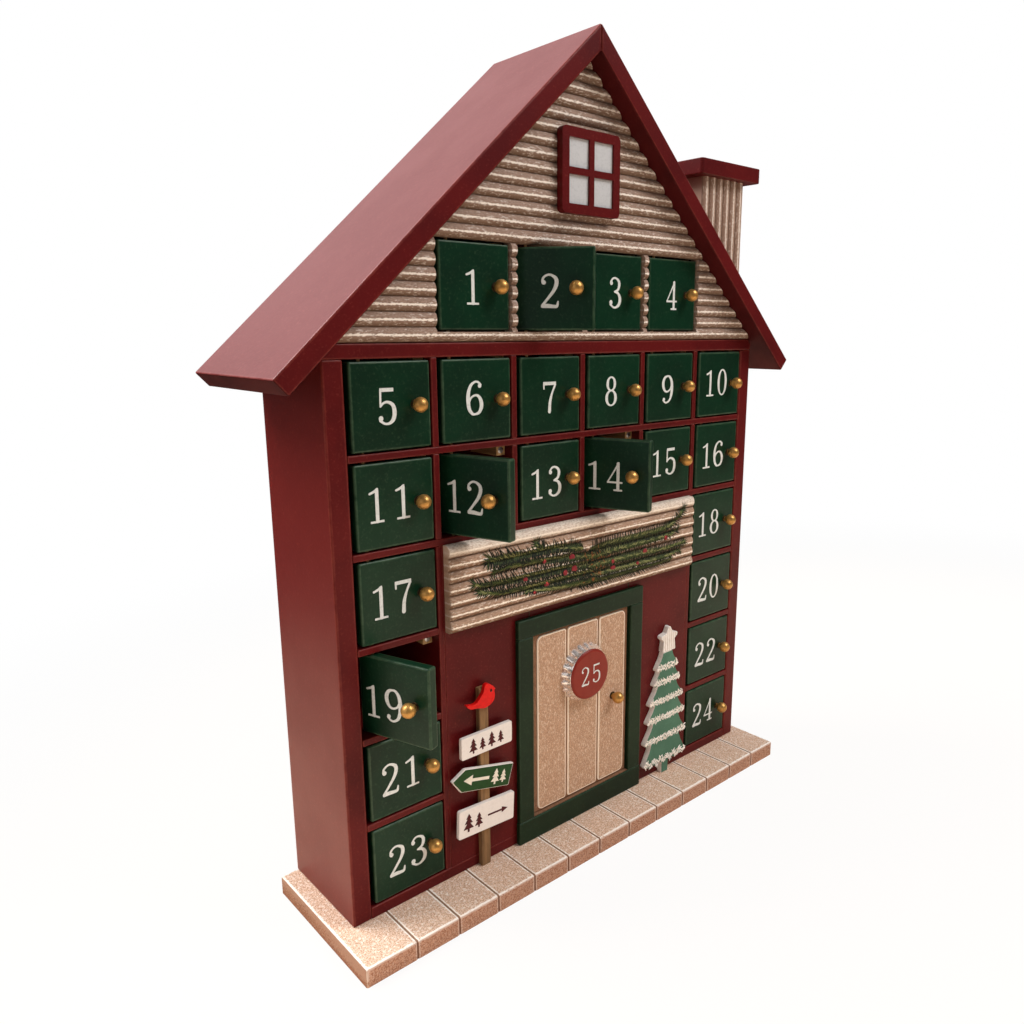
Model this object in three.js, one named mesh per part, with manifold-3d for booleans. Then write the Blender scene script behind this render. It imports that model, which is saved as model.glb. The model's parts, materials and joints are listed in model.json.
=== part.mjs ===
// House-shaped wooden advent calendar with 24 small doors, one large plank door and a fir tree.
// Millimetres, +Z up, front towards -Y. The origin is the centre of the plinth's underside.
import * as THREE from 'three';
import { mergeVertices } from 'three/addons/utils/BufferGeometryUtils.js';
import Module from 'manifold-3d';

const wasm = await Module();
wasm.setup();

// Carcass
const BODY_WIDTH = 274;
const BODY_DEPTH = 56;
const WALL = 9;
const DIVIDER = 3;
const SHELF = 3;
const BOTTOM_BOARD = 5.5;
const ATTIC_FLOOR = 6;
const BACK_PANEL = 3;
const FRONT_PANEL = 5;
const COLUMNS = 6;
const ROWS = 6;
const CELL_HEIGHT = 37.5;
const LAP_GAP = 0.15;

// Plinth of paving blocks
const PLINTH_THICK = 8.8;
const PLINTH_SIDE = 8.4;
const PLINTH_FRONT = 25.3;
const PLINTH_BLOCK = 22.16;
const PLINTH_BEVEL = 0.9;
const GROOVE_WIDTH = 1.4;
const GROOVE_DEPTH = 0.9;

// Small doors, their pivot pins and knobs
const DOOR_THICK = 5;
const DOOR_SETBACK = 0.2;
const ATTIC_SETBACK = 1.8;
const DOOR_EDGE = 0.5;
const GAP_LEFT = 2.4;
const GAP_RIGHT = 0.6;
const GAP_TOP = 1;
const GAP_BOTTOM = 0.7;
const PIVOT_IN = 8;
const PIN_RADIUS = 0.75;
const PIN_CLEAR = 0.25;
const PIN_REACH = 1.1;
const PIN_HOLE_DEPTH = 1.5;
const KNOB_RADIUS = 3.2;
const KNOB_NECK_RADIUS = 1.5;
const KNOB_STAND = 4.3;
const KNOB_IN = 8.3;
const KNOB_DROP = 0;
const DOOR_OPEN = { 2: 50, 12: 72, 14: 67, 19: 71 };

// Catch blocks that stop the doors
const CATCH_SIZE = 5;
const CATCH_LENGTH = 20;
const CATCH_GAP = 0.2;

// Large door, its frame and the crown cap on it
const LEAF_WIDTH = 68.2;
const LEAF_THICK = 5.6;
const LEAF_SETBACK = -0.6;
const LEAF_GAP_LEFT = 1.2;
const LEAF_PLANKS = 3;
const PLANK_PROUD = 0.7;
const PLANK_SIDE = 2.5;
const PLANK_END = 0.9;
const LEAF_KNOB_IN = 11.6;
const LEAF_CATCH_DROP = 9.3;
const LEAF_CATCH_WIDTH = 8;
const FRAME_THICK = 3;
const FRAME_WIDTH = 9.4;
const HEAD_GAP = 4.25;
const SILL_HEIGHT = 12.3;
const SILL_EXTRA = 0.4;
const CAP_TEETH = 21;
const CAP_TOP_RADIUS = 13.4;
const CAP_SKIRT_RADIUS = 16.05;
const CAP_TALL = 6;
const CAP_DROP = 27.6;
const PART_GAP = 0.3;

// Ribbed boards
const RIB_PITCH = 6;
const RIB_DEPTH = 1.8;
const RIB_STEPS = 4;
const SIDING_THICK = 6;
const SIDING_PROUD = 1.4;
const SIDING_RIBS_ABOVE_DOORS = 1;
const ATTIC_SILL = 4;
const ATTIC_DOORS = 4;
const ATTIC_OPENING = 38;
const ATTIC_CEILING = 3;
const BOARD_RIBS = 7;
const BOARD_RIB_PITCH = 5.75;
const BOARD_THICK = 5;
const BOARD_END_GAP = 0.4;

// Roof and chimney
const ROOF_CLEAR = 4.16;
const ROOF_THICK = 8.3;
const ROOF_EAVE = 23.7;
const ROOF_FRONT = 10.3;
const ROOF_BACK = 10.5;
const ROOF_SEAT = 4;
const ROOF_EDGE = 0.5;
const STACK_RIBS = 6;
const STACK_RIB_PITCH = 6.25;
const STACK_RIB_DEPTH = 1.4;
const STACK_DEPTH = 34;
const STACK_IN = 16.2;
const STACK_RISE = 63.7;
const CHIMNEY_CAP_SIDE = 8.1;
const CHIMNEY_CAP_FRONT = 5;
const CHIMNEY_CAP_THICK = 8;
const CAP_CORNER = 1.5;

// Attic window
const WINDOW_WIDTH = 36.8;
const WINDOW_HEIGHT = 36.7;
const WINDOW_THICK = 3.6;
const WINDOW_BORDER = 4.25;
const WINDOW_BAR = 3;
const WINDOW_CORNER = 2.4;
const WINDOW_ABOVE_DOORS = 14.5;
const WINDOW_WEB = 0.9;
const PANE_GAP = 0.15;

// Signpost, its boards and the bird
const TRIM_THICK = 3;
const POST_WIDTH = 5.2;
const POST_HEIGHT = 93.3;
const POST_SHIFT = -1.5;
const SIGN_THICK = 2;
const SIGN_EDGE = 0.4;
const SIGN_BOTTOM = { width: 33.2, height: 14.4, gap: 20.8, shift: -0.7, tilt: -3 };
const SIGN_ARROW = { width: 36, height: 11.3, gap: 8.2, shift: -3.6, tilt: -13.8, point: 6.3, slant: 0.7 };
const SIGN_TOP = { width: 29.9, height: 10.8, gap: 6.5, shift: 0.2, tilt: 0 };
const BIRD_LENGTH = 16.8;
const BIRD_DROP = 3.3;

// Fir tree and star
const TREE_THICK = 3.5;
const TREE_SHIFT = 1.8;
const TREE_TIPS = [0.5, 0.61, 0.79, 0.88, 0.98, 1];
const TREE_FALLS = [0.15, 0.28, 0.45, 0.61, 0.8, 1];
const TREE_TOP = 76;
const TREE_SKIRT = 8.5;
const TREE_LIFT = 1.2;
const TREE_EDGE = 0.4;
const TREE_HALF_WIDTH = 18.3;
const TREE_TOP_HALF = 3.9;
const TREE_NOTCH = 0.66;
const TRUNK_WIDTH = 5.5;
const STAR_HALF_WIDTH = 7.1;
const STAR_HEIGHT = 15;
const STAR_SHIFT = 1;
// Right half of the star from its top point down, in shares of its half width and height
const STAR_POINTS = [[0, 1], [0.4, 0.72], [0.95, 0.66], [1, 0.58], [0.66, 0.44], [0.76, 0]];

// Places worked out from the driving sizes
const plinthWidth = BODY_WIDTH + 2 * PLINTH_SIDE;
const plinthDepth = BODY_DEPTH + PLINTH_FRONT;
const deck = PLINTH_THICK;
const front = plinthDepth / -2 + PLINTH_FRONT;
const back = plinthDepth / 2;
const boardBack = back - BACK_PANEL;
const inner = BODY_WIDTH / 2 - WALL;
const cellWidth = (2 * inner - (COLUMNS - 1) * DIVIDER) / COLUMNS;
const wallTop = deck + BOTTOM_BOARD + ROWS * CELL_HEIGHT + (ROWS - 1) * SHELF;
const atticBase = wallTop + ATTIC_FLOOR;
const sidingFront = front - SIDING_PROUD;
const sidingBase = atticBase + PART_GAP;
const atticOpeningBase = atticBase + ATTIC_SILL + PART_GAP;
const atticOpeningTop = atticOpeningBase + ATTIC_OPENING;
const roofRun = BODY_WIDTH / 2 + cellLeft((COLUMNS - ATTIC_DOORS) / 2);
const roofSlope = (atticOpeningTop + ROOF_CLEAR - wallTop - ROOF_SEAT) / roofRun;
const roofPitch = Math.atan(roofSlope);
const ridgeUnder = wallTop + ROOF_SEAT + (BODY_WIDTH / 2) * roofSlope;
const ridgeTop = ridgeUnder + ROOF_THICK / Math.cos(roofPitch);
const bayLeft = cellLeft(1);
const bayRight = cellLeft(COLUMNS - 1) - DIVIDER;
const bayTop = rowFloor(4) - SHELF;
const bayBase = deck + BOTTOM_BOARD;
const leafBase = deck + SILL_HEIGHT;
const openingHalf = (LEAF_WIDTH + LEAF_GAP_LEFT + GAP_RIGHT) / 2;
const boardBase = bayTop - BOARD_RIBS * BOARD_RIB_PITCH;
const openingTop = boardBase - HEAD_GAP - FRAME_WIDTH;
const leafTop = openingTop - leafBase - GAP_TOP;
const frameHalf = openingHalf + FRAME_WIDTH;
const trimFront = front - TRIM_THICK;

const PAINT = {
  red: { color: 0x6e2023, roughness: 0.5 },
  green: { color: 0x163824, roughness: 0.55 },
  beige: { color: 0xb28f76, roughness: 0.75 },
  cream: { color: 0xe6dcd2, roughness: 0.6 },
  signGreen: { color: 0x264824, roughness: 0.6 },
  wood: { color: 0x82694a, roughness: 0.8 },
  scarlet: { color: 0xd6160f, roughness: 0.45 },
  firGreen: { color: 0x4b735a, roughness: 0.7 },
  pane: { color: 0xcdcbcd, roughness: 0.5 },
  capRed: { color: 0x87291f, roughness: 0.35, metalness: 0.6 },
};

const calendar = new THREE.Group();

function cellLeft(column) {
  return -inner + column * (cellWidth + DIVIDER);
}

function rowFloor(row) {
  return deck + BOTTOM_BOARD + row * (CELL_HEIGHT + SHELF);
}

// A closed geometry becomes a solid that can be joined and cut, and back again
function solid(geometry) {
  let merged = geometry.clone();
  merged.deleteAttribute('normal');
  merged.deleteAttribute('uv');
  merged = mergeVertices(merged, 1e-4);
  return new wasm.Manifold(new wasm.Mesh({
    numProp: 3,
    vertProperties: new Float32Array(merged.attributes.position.array),
    triVerts: new Uint32Array(merged.index.array),
  }));
}

function shapeOf(body) {
  const mesh = body.getMesh();
  const geometry = new THREE.BufferGeometry();
  geometry.setAttribute('position', new THREE.BufferAttribute(new Float32Array(mesh.vertProperties), 3));
  geometry.setIndex(new THREE.BufferAttribute(new Uint32Array(mesh.triVerts), 1));
  geometry.computeVertexNormals();
  return geometry;
}

function add(name, paint, geometry, parent = calendar) {
  const material = new THREE.MeshStandardMaterial(PAINT[paint]);
  const mesh = new THREE.Mesh(geometry.isBufferGeometry ? geometry : shapeOf(geometry), material);
  mesh.name = name;
  parent.add(mesh);
  return mesh;
}

function box(x0, x1, y0, y1, z0, z1) {
  const geometry = new THREE.BoxGeometry(x1 - x0, y1 - y0, z1 - z0);
  return geometry.translate((x0 + x1) / 2, (y0 + y1) / 2, (z0 + z1) / 2);
}

function outline(points) {
  return new THREE.Shape(points.map(([x, z]) => new THREE.Vector2(x, z)));
}

// A flat outline in X and Z, given thickness from y0 back to y1, with eased edges
function slab(shape, y0, y1, edge = 0, curveSegments = 6) {
  const geometry = new THREE.ExtrudeGeometry(shape, {
    depth: y1 - y0 - 2 * edge,
    bevelEnabled: edge > 0,
    bevelThickness: edge,
    bevelSize: edge,
    bevelOffset: -edge,
    bevelSegments: 1,
    curveSegments,
  });
  return geometry.rotateX(Math.PI / 2).translate(0, y1 - edge, 0);
}

// A flat outline in X and Y, raised from z0 to z1
function raised(shape, z0, z1, edge = 0) {
  const geometry = new THREE.ExtrudeGeometry(shape, {
    depth: z1 - z0 - 2 * edge,
    bevelEnabled: edge > 0,
    bevelThickness: edge,
    bevelSize: edge,
    bevelOffset: -edge,
    bevelSegments: 1,
    curveSegments: 4,
  });
  return geometry.translate(0, 0, z0 + edge);
}

function rectangle(x0, x1, z0, z1) {
  return outline([[x0, z0], [x1, z0], [x1, z1], [x0, z1]]);
}

function roundedRectangle(x0, x1, z0, z1, radius) {
  const shape = new THREE.Shape();
  shape.moveTo(x0 + radius, z0);
  shape.lineTo(x1 - radius, z0);
  shape.absarc(x1 - radius, z0 + radius, radius, -Math.PI / 2, 0);
  shape.lineTo(x1, z1 - radius);
  shape.absarc(x1 - radius, z1 - radius, radius, 0, Math.PI / 2);
  shape.lineTo(x0 + radius, z1);
  shape.absarc(x0 + radius, z1 - radius, radius, Math.PI / 2, Math.PI);
  shape.lineTo(x0, z0 + radius);
  shape.absarc(x0 + radius, z0 + radius, radius, Math.PI, 1.5 * Math.PI);
  return shape;
}

function upright(radius, sides, x, y, z0, z1) {
  const geometry = new THREE.CylinderGeometry(radius, radius, z1 - z0, sides);
  return geometry.rotateX(Math.PI / 2).translate(x, y, (z0 + z1) / 2);
}

function pinHole(x, y, z0, z1) {
  return solid(upright(PIN_RADIUS + PIN_CLEAR, 12, x, y, z0, z1));
}

// Heights of the points across a row of round ribs, from a valley (0) to a valley (count)
function ribPoints(count, pitch, depth, start, valley) {
  const radius = (pitch * pitch / 4 + depth * depth) / (2 * depth);
  const points = [];
  for (let i = 0; i <= count * RIB_STEPS; i += 1) {
    const across = (i % RIB_STEPS) / RIB_STEPS * pitch - pitch / 2;
    const rise = Math.sqrt(radius * radius - across * across) - (radius - depth);
    points.push([start + i / RIB_STEPS * pitch, valley - (i % RIB_STEPS === 0 ? 0 : rise)]);
  }
  return points;
}

// The catch block that hangs under the board above a compartment, at its right
function catchBlock(right, top, doorFront, thick = DOOR_THICK) {
  const y0 = doorFront + thick + CATCH_GAP;
  const x1 = right - CATCH_GAP;
  return solid(box(x1 - CATCH_SIZE, x1, y0, y0 + CATCH_LENGTH, top - CATCH_SIZE, top + SHELF / 4));
}

function pivotY(doorFront, thick = DOOR_THICK) {
  return doorFront + thick / 2;
}

function knob(x, faceY, z) {
  const profile = [new THREE.Vector2(0, faceY + 0.4), new THREE.Vector2(KNOB_NECK_RADIUS, faceY + 0.4)];
  const centre = faceY - KNOB_STAND;
  const neckAngle = Math.asin(KNOB_NECK_RADIUS / KNOB_RADIUS);
  const steps = 5;
  for (let i = 0; i <= steps; i += 1) {
    const angle = neckAngle + (Math.PI - neckAngle) * i / steps;
    const radius = i === steps ? 0 : KNOB_RADIUS * Math.sin(angle);
    profile.push(new THREE.Vector2(radius, centre + KNOB_RADIUS * Math.cos(angle)));
  }
  return new THREE.LatheGeometry(profile.reverse(), 12).translate(x, 0, z);
}

// One small door, drawn about its pivot, in an opening whose lower left corner is given
function smallDoor(number, left, floor, tall, doorFront) {
  const pivot = pivotY(doorFront);
  const x0 = GAP_LEFT - PIVOT_IN;
  const x1 = cellWidth - GAP_RIGHT - PIVOT_IN;
  const z1 = tall - GAP_TOP;
  const half = DOOR_THICK / 2;
  const panel = solid(slab(rectangle(x0, x1, GAP_BOTTOM, z1), -half, half, DOOR_EDGE));
  const handle = solid(knob(cellWidth - KNOB_IN - PIVOT_IN, -half, tall / 2 - KNOB_DROP));
  const pin = solid(upright(PIN_RADIUS, 8, 0, 0, -PIN_REACH, tall + PIN_REACH));
  const hinged = new THREE.Group();
  hinged.position.set(left + PIVOT_IN, pivot, floor);
  hinged.rotation.z = -THREE.MathUtils.degToRad(DOOR_OPEN[number] ?? 0);
  add(`door_${String(number).padStart(2, '0')}`, 'green', panel.add(handle).add(pin), hinged);
  calendar.add(hinged);
}

// Pin holes in a board: the doors below it reach up into it and the doors above reach down
function pinHoles(board, columns, underside, top, pivot) {
  let drilled = board;
  for (const column of columns) {
    drilled = drilled.subtract(pinHole(cellLeft(column) + PIVOT_IN, pivot, underside, top));
  }
  return drilled;
}

function addPlinth() {
  const half = plinthWidth / 2;
  let plinth = solid(raised(outline([[-half, -back], [half, -back], [half, back], [-half, back]]),
    0, PLINTH_THICK, PLINTH_BEVEL));
  const groove = [[-GROOVE_WIDTH / 2, GROOVE_DEPTH / 3], [0, -GROOVE_DEPTH], [GROOVE_WIDTH / 2, GROOVE_DEPTH / 3]];
  for (let x = half - PLINTH_BLOCK; x > PLINTH_BLOCK * 0.75 - half; x -= PLINTH_BLOCK) {
    const above = outline(groove.map(([u, v]) => [x + u, deck + v]));
    const ahead = outline(groove.map(([u, v]) => [x + u, -back - v]));
    plinth = plinth.subtract(solid(slab(above, -back - 1, front + 1)));
    plinth = plinth.subtract(solid(raised(ahead, -1, deck + 1)));
  }
  add('base_plinth', 'beige', plinth);
}

function addCarcass() {
  const half = BODY_WIDTH / 2;
  add('left_wall', 'red', box(-half, -inner, front, back, deck, wallTop));
  add('right_wall', 'red', box(inner, half, front, back, deck, wallTop));
  const doorPivot = pivotY(front + DOOR_SETBACK);
  const ends = [0, COLUMNS - 1];
  const all = [...Array(COLUMNS).keys()];

  const bottom = solid(box(-inner, inner, front, boardBack, deck, bayBase));
  add('bottom_board', 'red', pinHoles(bottom, ends, bayBase - PIN_HOLE_DEPTH, bayBase + 1, doorPivot));

  const seat = wallTop + ROOF_SEAT - PART_GAP;
  const inset = (atticBase - seat) / roofSlope;
  let floor = solid(slab(outline([[-half, wallTop], [half, wallTop], [half, seat], [half - inset, atticBase],
    [inset - half, atticBase], [-half, seat]]), front, boardBack));
  floor = pinHoles(floor, all, wallTop - 1, wallTop + PIN_HOLE_DEPTH, doorPivot);
  add('attic_floor', 'red', withCatches(floor, all, wallTop));

  addShelf('upper_shelf', ROWS - 1, all, [1, 2, 3, 4, 5], doorPivot);
  addShelf('middle_shelf', ROWS - 2, all, [1, 5], doorPivot);
  for (let column = 2; column < COLUMNS - 1; column += 1) {
    const x = cellLeft(column);
    const divider = solid(box(x - DIVIDER, x, front, boardBack, rowFloor(ROWS - 2), wallTop));
    add(`upper_divider_${column - 1}`, 'red', notched(divider, x, [ROWS - 1]));
  }
  addColumn('left_column', 0, cellLeft(1), doorPivot);
  addColumn('right_column', COLUMNS - 1, cellLeft(COLUMNS - 1), doorPivot);

  const under = ridgeUnder - PART_GAP / Math.cos(roofPitch);
  add('back_panel', 'red', slab(outline([[-inner, deck], [inner, deck], [inner, wallTop], [half, wallTop],
    [half, under - half * roofSlope], [0, under], [-half, under - half * roofSlope], [-half, wallTop],
    [-inner, wallTop]]), boardBack, back));
}

function withCatches(board, columns, underside) {
  let joined = board;
  for (const column of columns) {
    joined = joined.add(catchBlock(cellLeft(column) + cellWidth, underside, front + DOOR_SETBACK));
  }
  return joined;
}

// A full-width shelf under one row, slotted from the back for the dividers that cross it
function addShelf(name, row, columns, crossings, doorPivot) {
  const top = rowFloor(row);
  const middle = (front + boardBack) / 2;
  let shelf = solid(box(-inner, inner, front, boardBack, top - SHELF, top));
  const below = row === ROWS - 1 ? columns : [0, COLUMNS - 1];
  shelf = pinHoles(shelf, columns, top - SHELF - 1, top + 1, doorPivot);
  shelf = withCatches(shelf, below, top - SHELF);
  for (const column of crossings) {
    const x = cellLeft(column);
    shelf = shelf.subtract(solid(box(x - DIVIDER - LAP_GAP, x + LAP_GAP, middle - LAP_GAP, boardBack + 1,
      top - SHELF - 1, top + 1)));
  }
  add(name, 'red', shelf);
}

// A divider slotted from the front where shelves cross it
function notched(divider, x, rows) {
  const middle = (front + boardBack) / 2;
  let cut = divider;
  for (const row of rows) {
    const top = rowFloor(row);
    cut = cut.subtract(solid(box(x - DIVIDER - 1, x + 1, front - 1, middle + LAP_GAP,
      top - SHELF - LAP_GAP, top + LAP_GAP)));
  }
  return cut;
}

// An outer column: its divider and the three shelves between it and the side wall
function addColumn(name, column, dividerRight, doorPivot) {
  const divider = solid(box(dividerRight - DIVIDER, dividerRight, front, boardBack, bayBase, wallTop));
  let rack = notched(divider, dividerRight, [ROWS - 2, ROWS - 1]);
  const left = cellLeft(column);
  for (let row = 1; row < ROWS - 2; row += 1) {
    const top = rowFloor(row);
    const x0 = column === 0 ? left : left - DIVIDER / 2;
    const x1 = left + cellWidth + (column === 0 ? DIVIDER / 2 : 0);
    let shelf = solid(box(x0, x1, front, boardBack, top - SHELF, top));
    shelf = pinHoles(shelf, [column], top - SHELF - 1, top + 1, doorPivot);
    rack = rack.add(withCatches(shelf, [column], top - SHELF));
  }
  add(name, 'red', rack);
}

function addSmallDoors() {
  for (let column = 0; column < COLUMNS; column += 1) {
    smallDoor(5 + column, cellLeft(column), rowFloor(ROWS - 1), CELL_HEIGHT, front + DOOR_SETBACK);
    smallDoor(11 + column, cellLeft(column), rowFloor(ROWS - 2), CELL_HEIGHT, front + DOOR_SETBACK);
  }
  for (let row = 0; row < ROWS - 2; row += 1) {
    const number = 17 + 2 * (ROWS - 3 - row);
    smallDoor(number, cellLeft(0), rowFloor(row), CELL_HEIGHT, front + DOOR_SETBACK);
    smallDoor(number + 1, cellLeft(COLUMNS - 1), rowFloor(row), CELL_HEIGHT, front + DOOR_SETBACK);
  }
  for (let i = 0; i < ATTIC_DOORS; i += 1) {
    smallDoor(1 + i, cellLeft(1 + i), atticOpeningBase, ATTIC_OPENING, sidingFront + ATTIC_SETBACK);
  }
}

function addFrontPanel() {
  const panelBack = front + FRONT_PANEL;
  const pivot = pivotY(front + LEAF_SETBACK, LEAF_THICK);
  const pivotX = -openingHalf + PIVOT_IN;
  let panel = solid(box(bayLeft, bayRight, front, panelBack, bayBase, bayTop));
  panel = panel.subtract(solid(box(-openingHalf, openingHalf, front - 1, panelBack + 1, leafBase, openingTop)));
  panel = panel.subtract(pinHole(pivotX, pivot, leafBase - PIN_HOLE_DEPTH, leafBase + 1));
  panel = panel.subtract(pinHole(pivotX, pivot, openingTop - 1, openingTop + PIN_HOLE_DEPTH));
  const catchFront = front + LEAF_SETBACK + LEAF_THICK + CATCH_GAP;
  const catchBase = openingTop - LEAF_CATCH_DROP - CATCH_SIZE;
  const lug = solid(box(openingHalf - LEAF_CATCH_WIDTH / 2, openingHalf + LEAF_CATCH_WIDTH / 2,
    catchFront, catchFront + CATCH_SIZE, catchBase, catchBase + CATCH_SIZE));
  const root = solid(box(openingHalf, openingHalf + LEAF_CATCH_WIDTH / 2, panelBack - 1, catchFront + CATCH_SIZE,
    catchBase, catchBase + CATCH_SIZE));
  add('front_panel', 'red', panel.add(lug).add(root));

  const pieces = {
    left_jamb: [-frameHalf, -openingHalf, leafBase, openingTop],
    right_jamb: [openingHalf, frameHalf, leafBase, openingTop],
    door_head: [-frameHalf, frameHalf, openingTop, openingTop + FRAME_WIDTH],
    door_sill: [-frameHalf - SILL_EXTRA, frameHalf + SILL_EXTRA, deck, leafBase],
  };
  for (const [name, [x0, x1, z0, z1]] of Object.entries(pieces)) {
    add(name, 'green', slab(rectangle(x0, x1, z0, z1), front - FRAME_THICK, front, 0.3));
  }
}

function addLargeDoor() {
  const x0 = LEAF_GAP_LEFT - PIVOT_IN;
  const x1 = x0 + LEAF_WIDTH;
  const half = LEAF_THICK / 2;
  let leaf = solid(slab(rectangle(x0, x1, GAP_BOTTOM, leafTop), -half, half, DOOR_EDGE));
  const face = -half - PLANK_PROUD;
  leaf = leaf.add(solid(slab(rectangle(x0 + PLANK_SIDE, x1 - PLANK_SIDE, GAP_BOTTOM + PLANK_END, leafTop - PLANK_END),
    face, 0, PLANK_PROUD / 2)));
  for (let i = 1; i < LEAF_PLANKS; i += 1) {
    const x = x0 + i * LEAF_WIDTH / LEAF_PLANKS;
    const groove = outline([[x - GROOVE_WIDTH / 2, face - GROOVE_DEPTH / 3], [x, face + GROOVE_DEPTH],
      [x + GROOVE_WIDTH / 2, face - GROOVE_DEPTH / 3]]);
    leaf = leaf.subtract(solid(raised(groove, 0, leafTop + GAP_TOP)));
  }
  const tall = leafTop + GAP_TOP;
  leaf = leaf.add(solid(knob(x1 - LEAF_KNOB_IN, face, tall / 2 - KNOB_DROP)));
  leaf = leaf.add(solid(upright(PIN_RADIUS, 8, 0, 0, -PIN_REACH, tall + PIN_REACH)));
  const hinged = new THREE.Group();
  hinged.position.set(-openingHalf + PIVOT_IN, pivotY(front + LEAF_SETBACK, LEAF_THICK), leafBase);
  calendar.add(hinged);
  add('door_25', 'beige', leaf, hinged);
  const cap = add('bottle_cap', 'capRed', crownCap(), hinged);
  cap.position.set((x0 + x1) / 2, face, leafTop - CAP_DROP);
}

// A crown cap standing on a wall: a round top and a flared skirt with teeth all round
function crownCap() {
  const around = CAP_TEETH * 4;
  const flare = CAP_SKIRT_RADIUS - CAP_TOP_RADIUS;
  const levels = [
    { y: 0, radius: CAP_SKIRT_RADIUS, wave: 1 },
    { y: -CAP_TALL * 0.3, radius: CAP_TOP_RADIUS + flare * 0.62, wave: 0.7 },
    { y: -CAP_TALL * 0.85, radius: CAP_TOP_RADIUS + flare * 0.12, wave: 0 },
    { y: -CAP_TALL, radius: CAP_TOP_RADIUS - 0.9, wave: 0 },
  ];
  const position = [];
  for (const { y, radius, wave } of levels) {
    for (let i = 0; i < around; i += 1) {
      const angle = 2 * Math.PI * i / around;
      const r = radius - flare * 0.3 * wave * (1 - Math.cos(CAP_TEETH * angle)) / 2;
      position.push(r * Math.cos(angle), y, r * Math.sin(angle));
    }
  }
  const foot = position.length / 3;
  position.push(0, 0, 0, 0, -CAP_TALL, 0);
  const index = [];
  for (let i = 0; i < around; i += 1) {
    const next = (i + 1) % around;
    for (let level = 0; level + 1 < levels.length; level += 1) {
      const a = level * around;
      const b = a + around;
      index.push(a + i, a + next, b + next, a + i, b + next, b + i);
    }
    const last = (levels.length - 1) * around;
    index.push(foot, next, i, foot + 1, last + i, last + next);
  }
  const geometry = new THREE.BufferGeometry();
  geometry.setAttribute('position', new THREE.Float32BufferAttribute(position, 3));
  geometry.setIndex(index);
  geometry.computeVertexNormals();
  return geometry;
}

function addGarlandBoard() {
  const length = bayRight - bayLeft - 2 * BOARD_END_GAP;
  const ribs = ribPoints(BOARD_RIBS, BOARD_RIB_PITCH, RIB_DEPTH, boardBase, front - BOARD_THICK + RIB_DEPTH);
  const board = ribbedBoard(ribs, front, length).translate((bayLeft + bayRight) / 2, 0, 0);
  add('garland_board', 'beige', board);
}

// A board of given length along X whose front follows rib points of [height, depth place]
function ribbedBoard(ribs, backY, length) {
  const section = new THREE.Shape();
  section.moveTo(backY, ribs[0][0]);
  ribs.forEach(([z, y]) => section.lineTo(y, z));
  section.lineTo(backY, ribs[ribs.length - 1][0]);
  const geometry = new THREE.ExtrudeGeometry(section, { depth: length, bevelEnabled: false });
  const turn = new THREE.Matrix4().set(0, 0, 1, -length / 2, 1, 0, 0, 0, 0, 1, 0, 0, 0, 0, 0, 1);
  return geometry.applyMatrix4(turn);
}

function addSiding() {
  const count = Math.ceil((ridgeUnder - sidingBase) / RIB_PITCH);
  const ribs = ribPoints(count, RIB_PITCH, RIB_DEPTH, sidingBase, sidingFront + RIB_DEPTH);
  const sidingBack = sidingFront + SIDING_THICK;
  let siding = solid(ribbedBoard(ribs, sidingBack, BODY_WIDTH));
  siding = siding.intersect(solid(gable(sidingBase - 1, sidingFront - 1, sidingBack + 1)));
  const pivot = pivotY(sidingFront + ATTIC_SETBACK);
  for (let i = 0; i < ATTIC_DOORS; i += 1) {
    const left = cellLeft(1 + i);
    siding = siding.subtract(solid(box(left, left + cellWidth, sidingFront - 1, sidingBack + 1,
      atticOpeningBase, atticOpeningTop)));
    siding = siding.subtract(pinHole(left + PIVOT_IN, pivot, atticOpeningBase - PIN_HOLE_DEPTH,
      atticOpeningTop + PIN_HOLE_DEPTH));
  }
  add('gable_siding', 'beige', siding);

  const cellsFront = sidingBack + LAP_GAP;
  const left = cellLeft(1) - DIVIDER;
  const right = cellLeft(1 + ATTIC_DOORS);
  let cells = solid(box(left, right, cellsFront, boardBack, atticBase, atticOpeningTop + ATTIC_CEILING));
  for (let i = 0; i < ATTIC_DOORS; i += 1) {
    const x = cellLeft(1 + i);
    cells = cells.subtract(solid(box(x, x + cellWidth, cellsFront - 1, boardBack + 1, atticBase - 1, atticOpeningTop)));
  }
  for (let i = 0; i < ATTIC_DOORS; i += 1) {
    cells = cells.add(catchBlock(cellLeft(1 + i) + cellWidth, atticOpeningTop, sidingFront + ATTIC_SETBACK));
  }
  add('attic_cells', 'red', cells.intersect(solid(gable(atticBase - 1, front - 1, boardBack + 1))));
}

// The space under the roof, with the clearance to it, from a level up to the ridge
function gable(base, y0, y1) {
  const under = ridgeUnder - PART_GAP / Math.cos(roofPitch);
  const reach = (under - base) / roofSlope;
  return slab(outline([[-reach, base], [reach, base], [0, under]]), y0, y1);
}

function addRoof() {
  const along = BODY_WIDTH / 2 + ROOF_EAVE;
  const down = along * roofSlope;
  const inX = ROOF_THICK * Math.sin(roofPitch);
  const inZ = ROOF_THICK * Math.cos(roofPitch);
  for (const side of [-1, 1]) {
    const ridge = side * PART_GAP / 2;
    const points = [[ridge, ridgeUnder - PART_GAP / 2 * roofSlope], [ridge, ridgeTop - PART_GAP / 2 * roofSlope],
      [side * along, ridgeTop - down], [side * (along - inX), ridgeTop - down - inZ]];
    const panel = slab(outline(side > 0 ? points.reverse() : points), front - ROOF_FRONT, back + ROOF_BACK, ROOF_EDGE);
    add(side < 0 ? 'roof_left' : 'roof_right', 'red', panel);
  }
}

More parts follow.
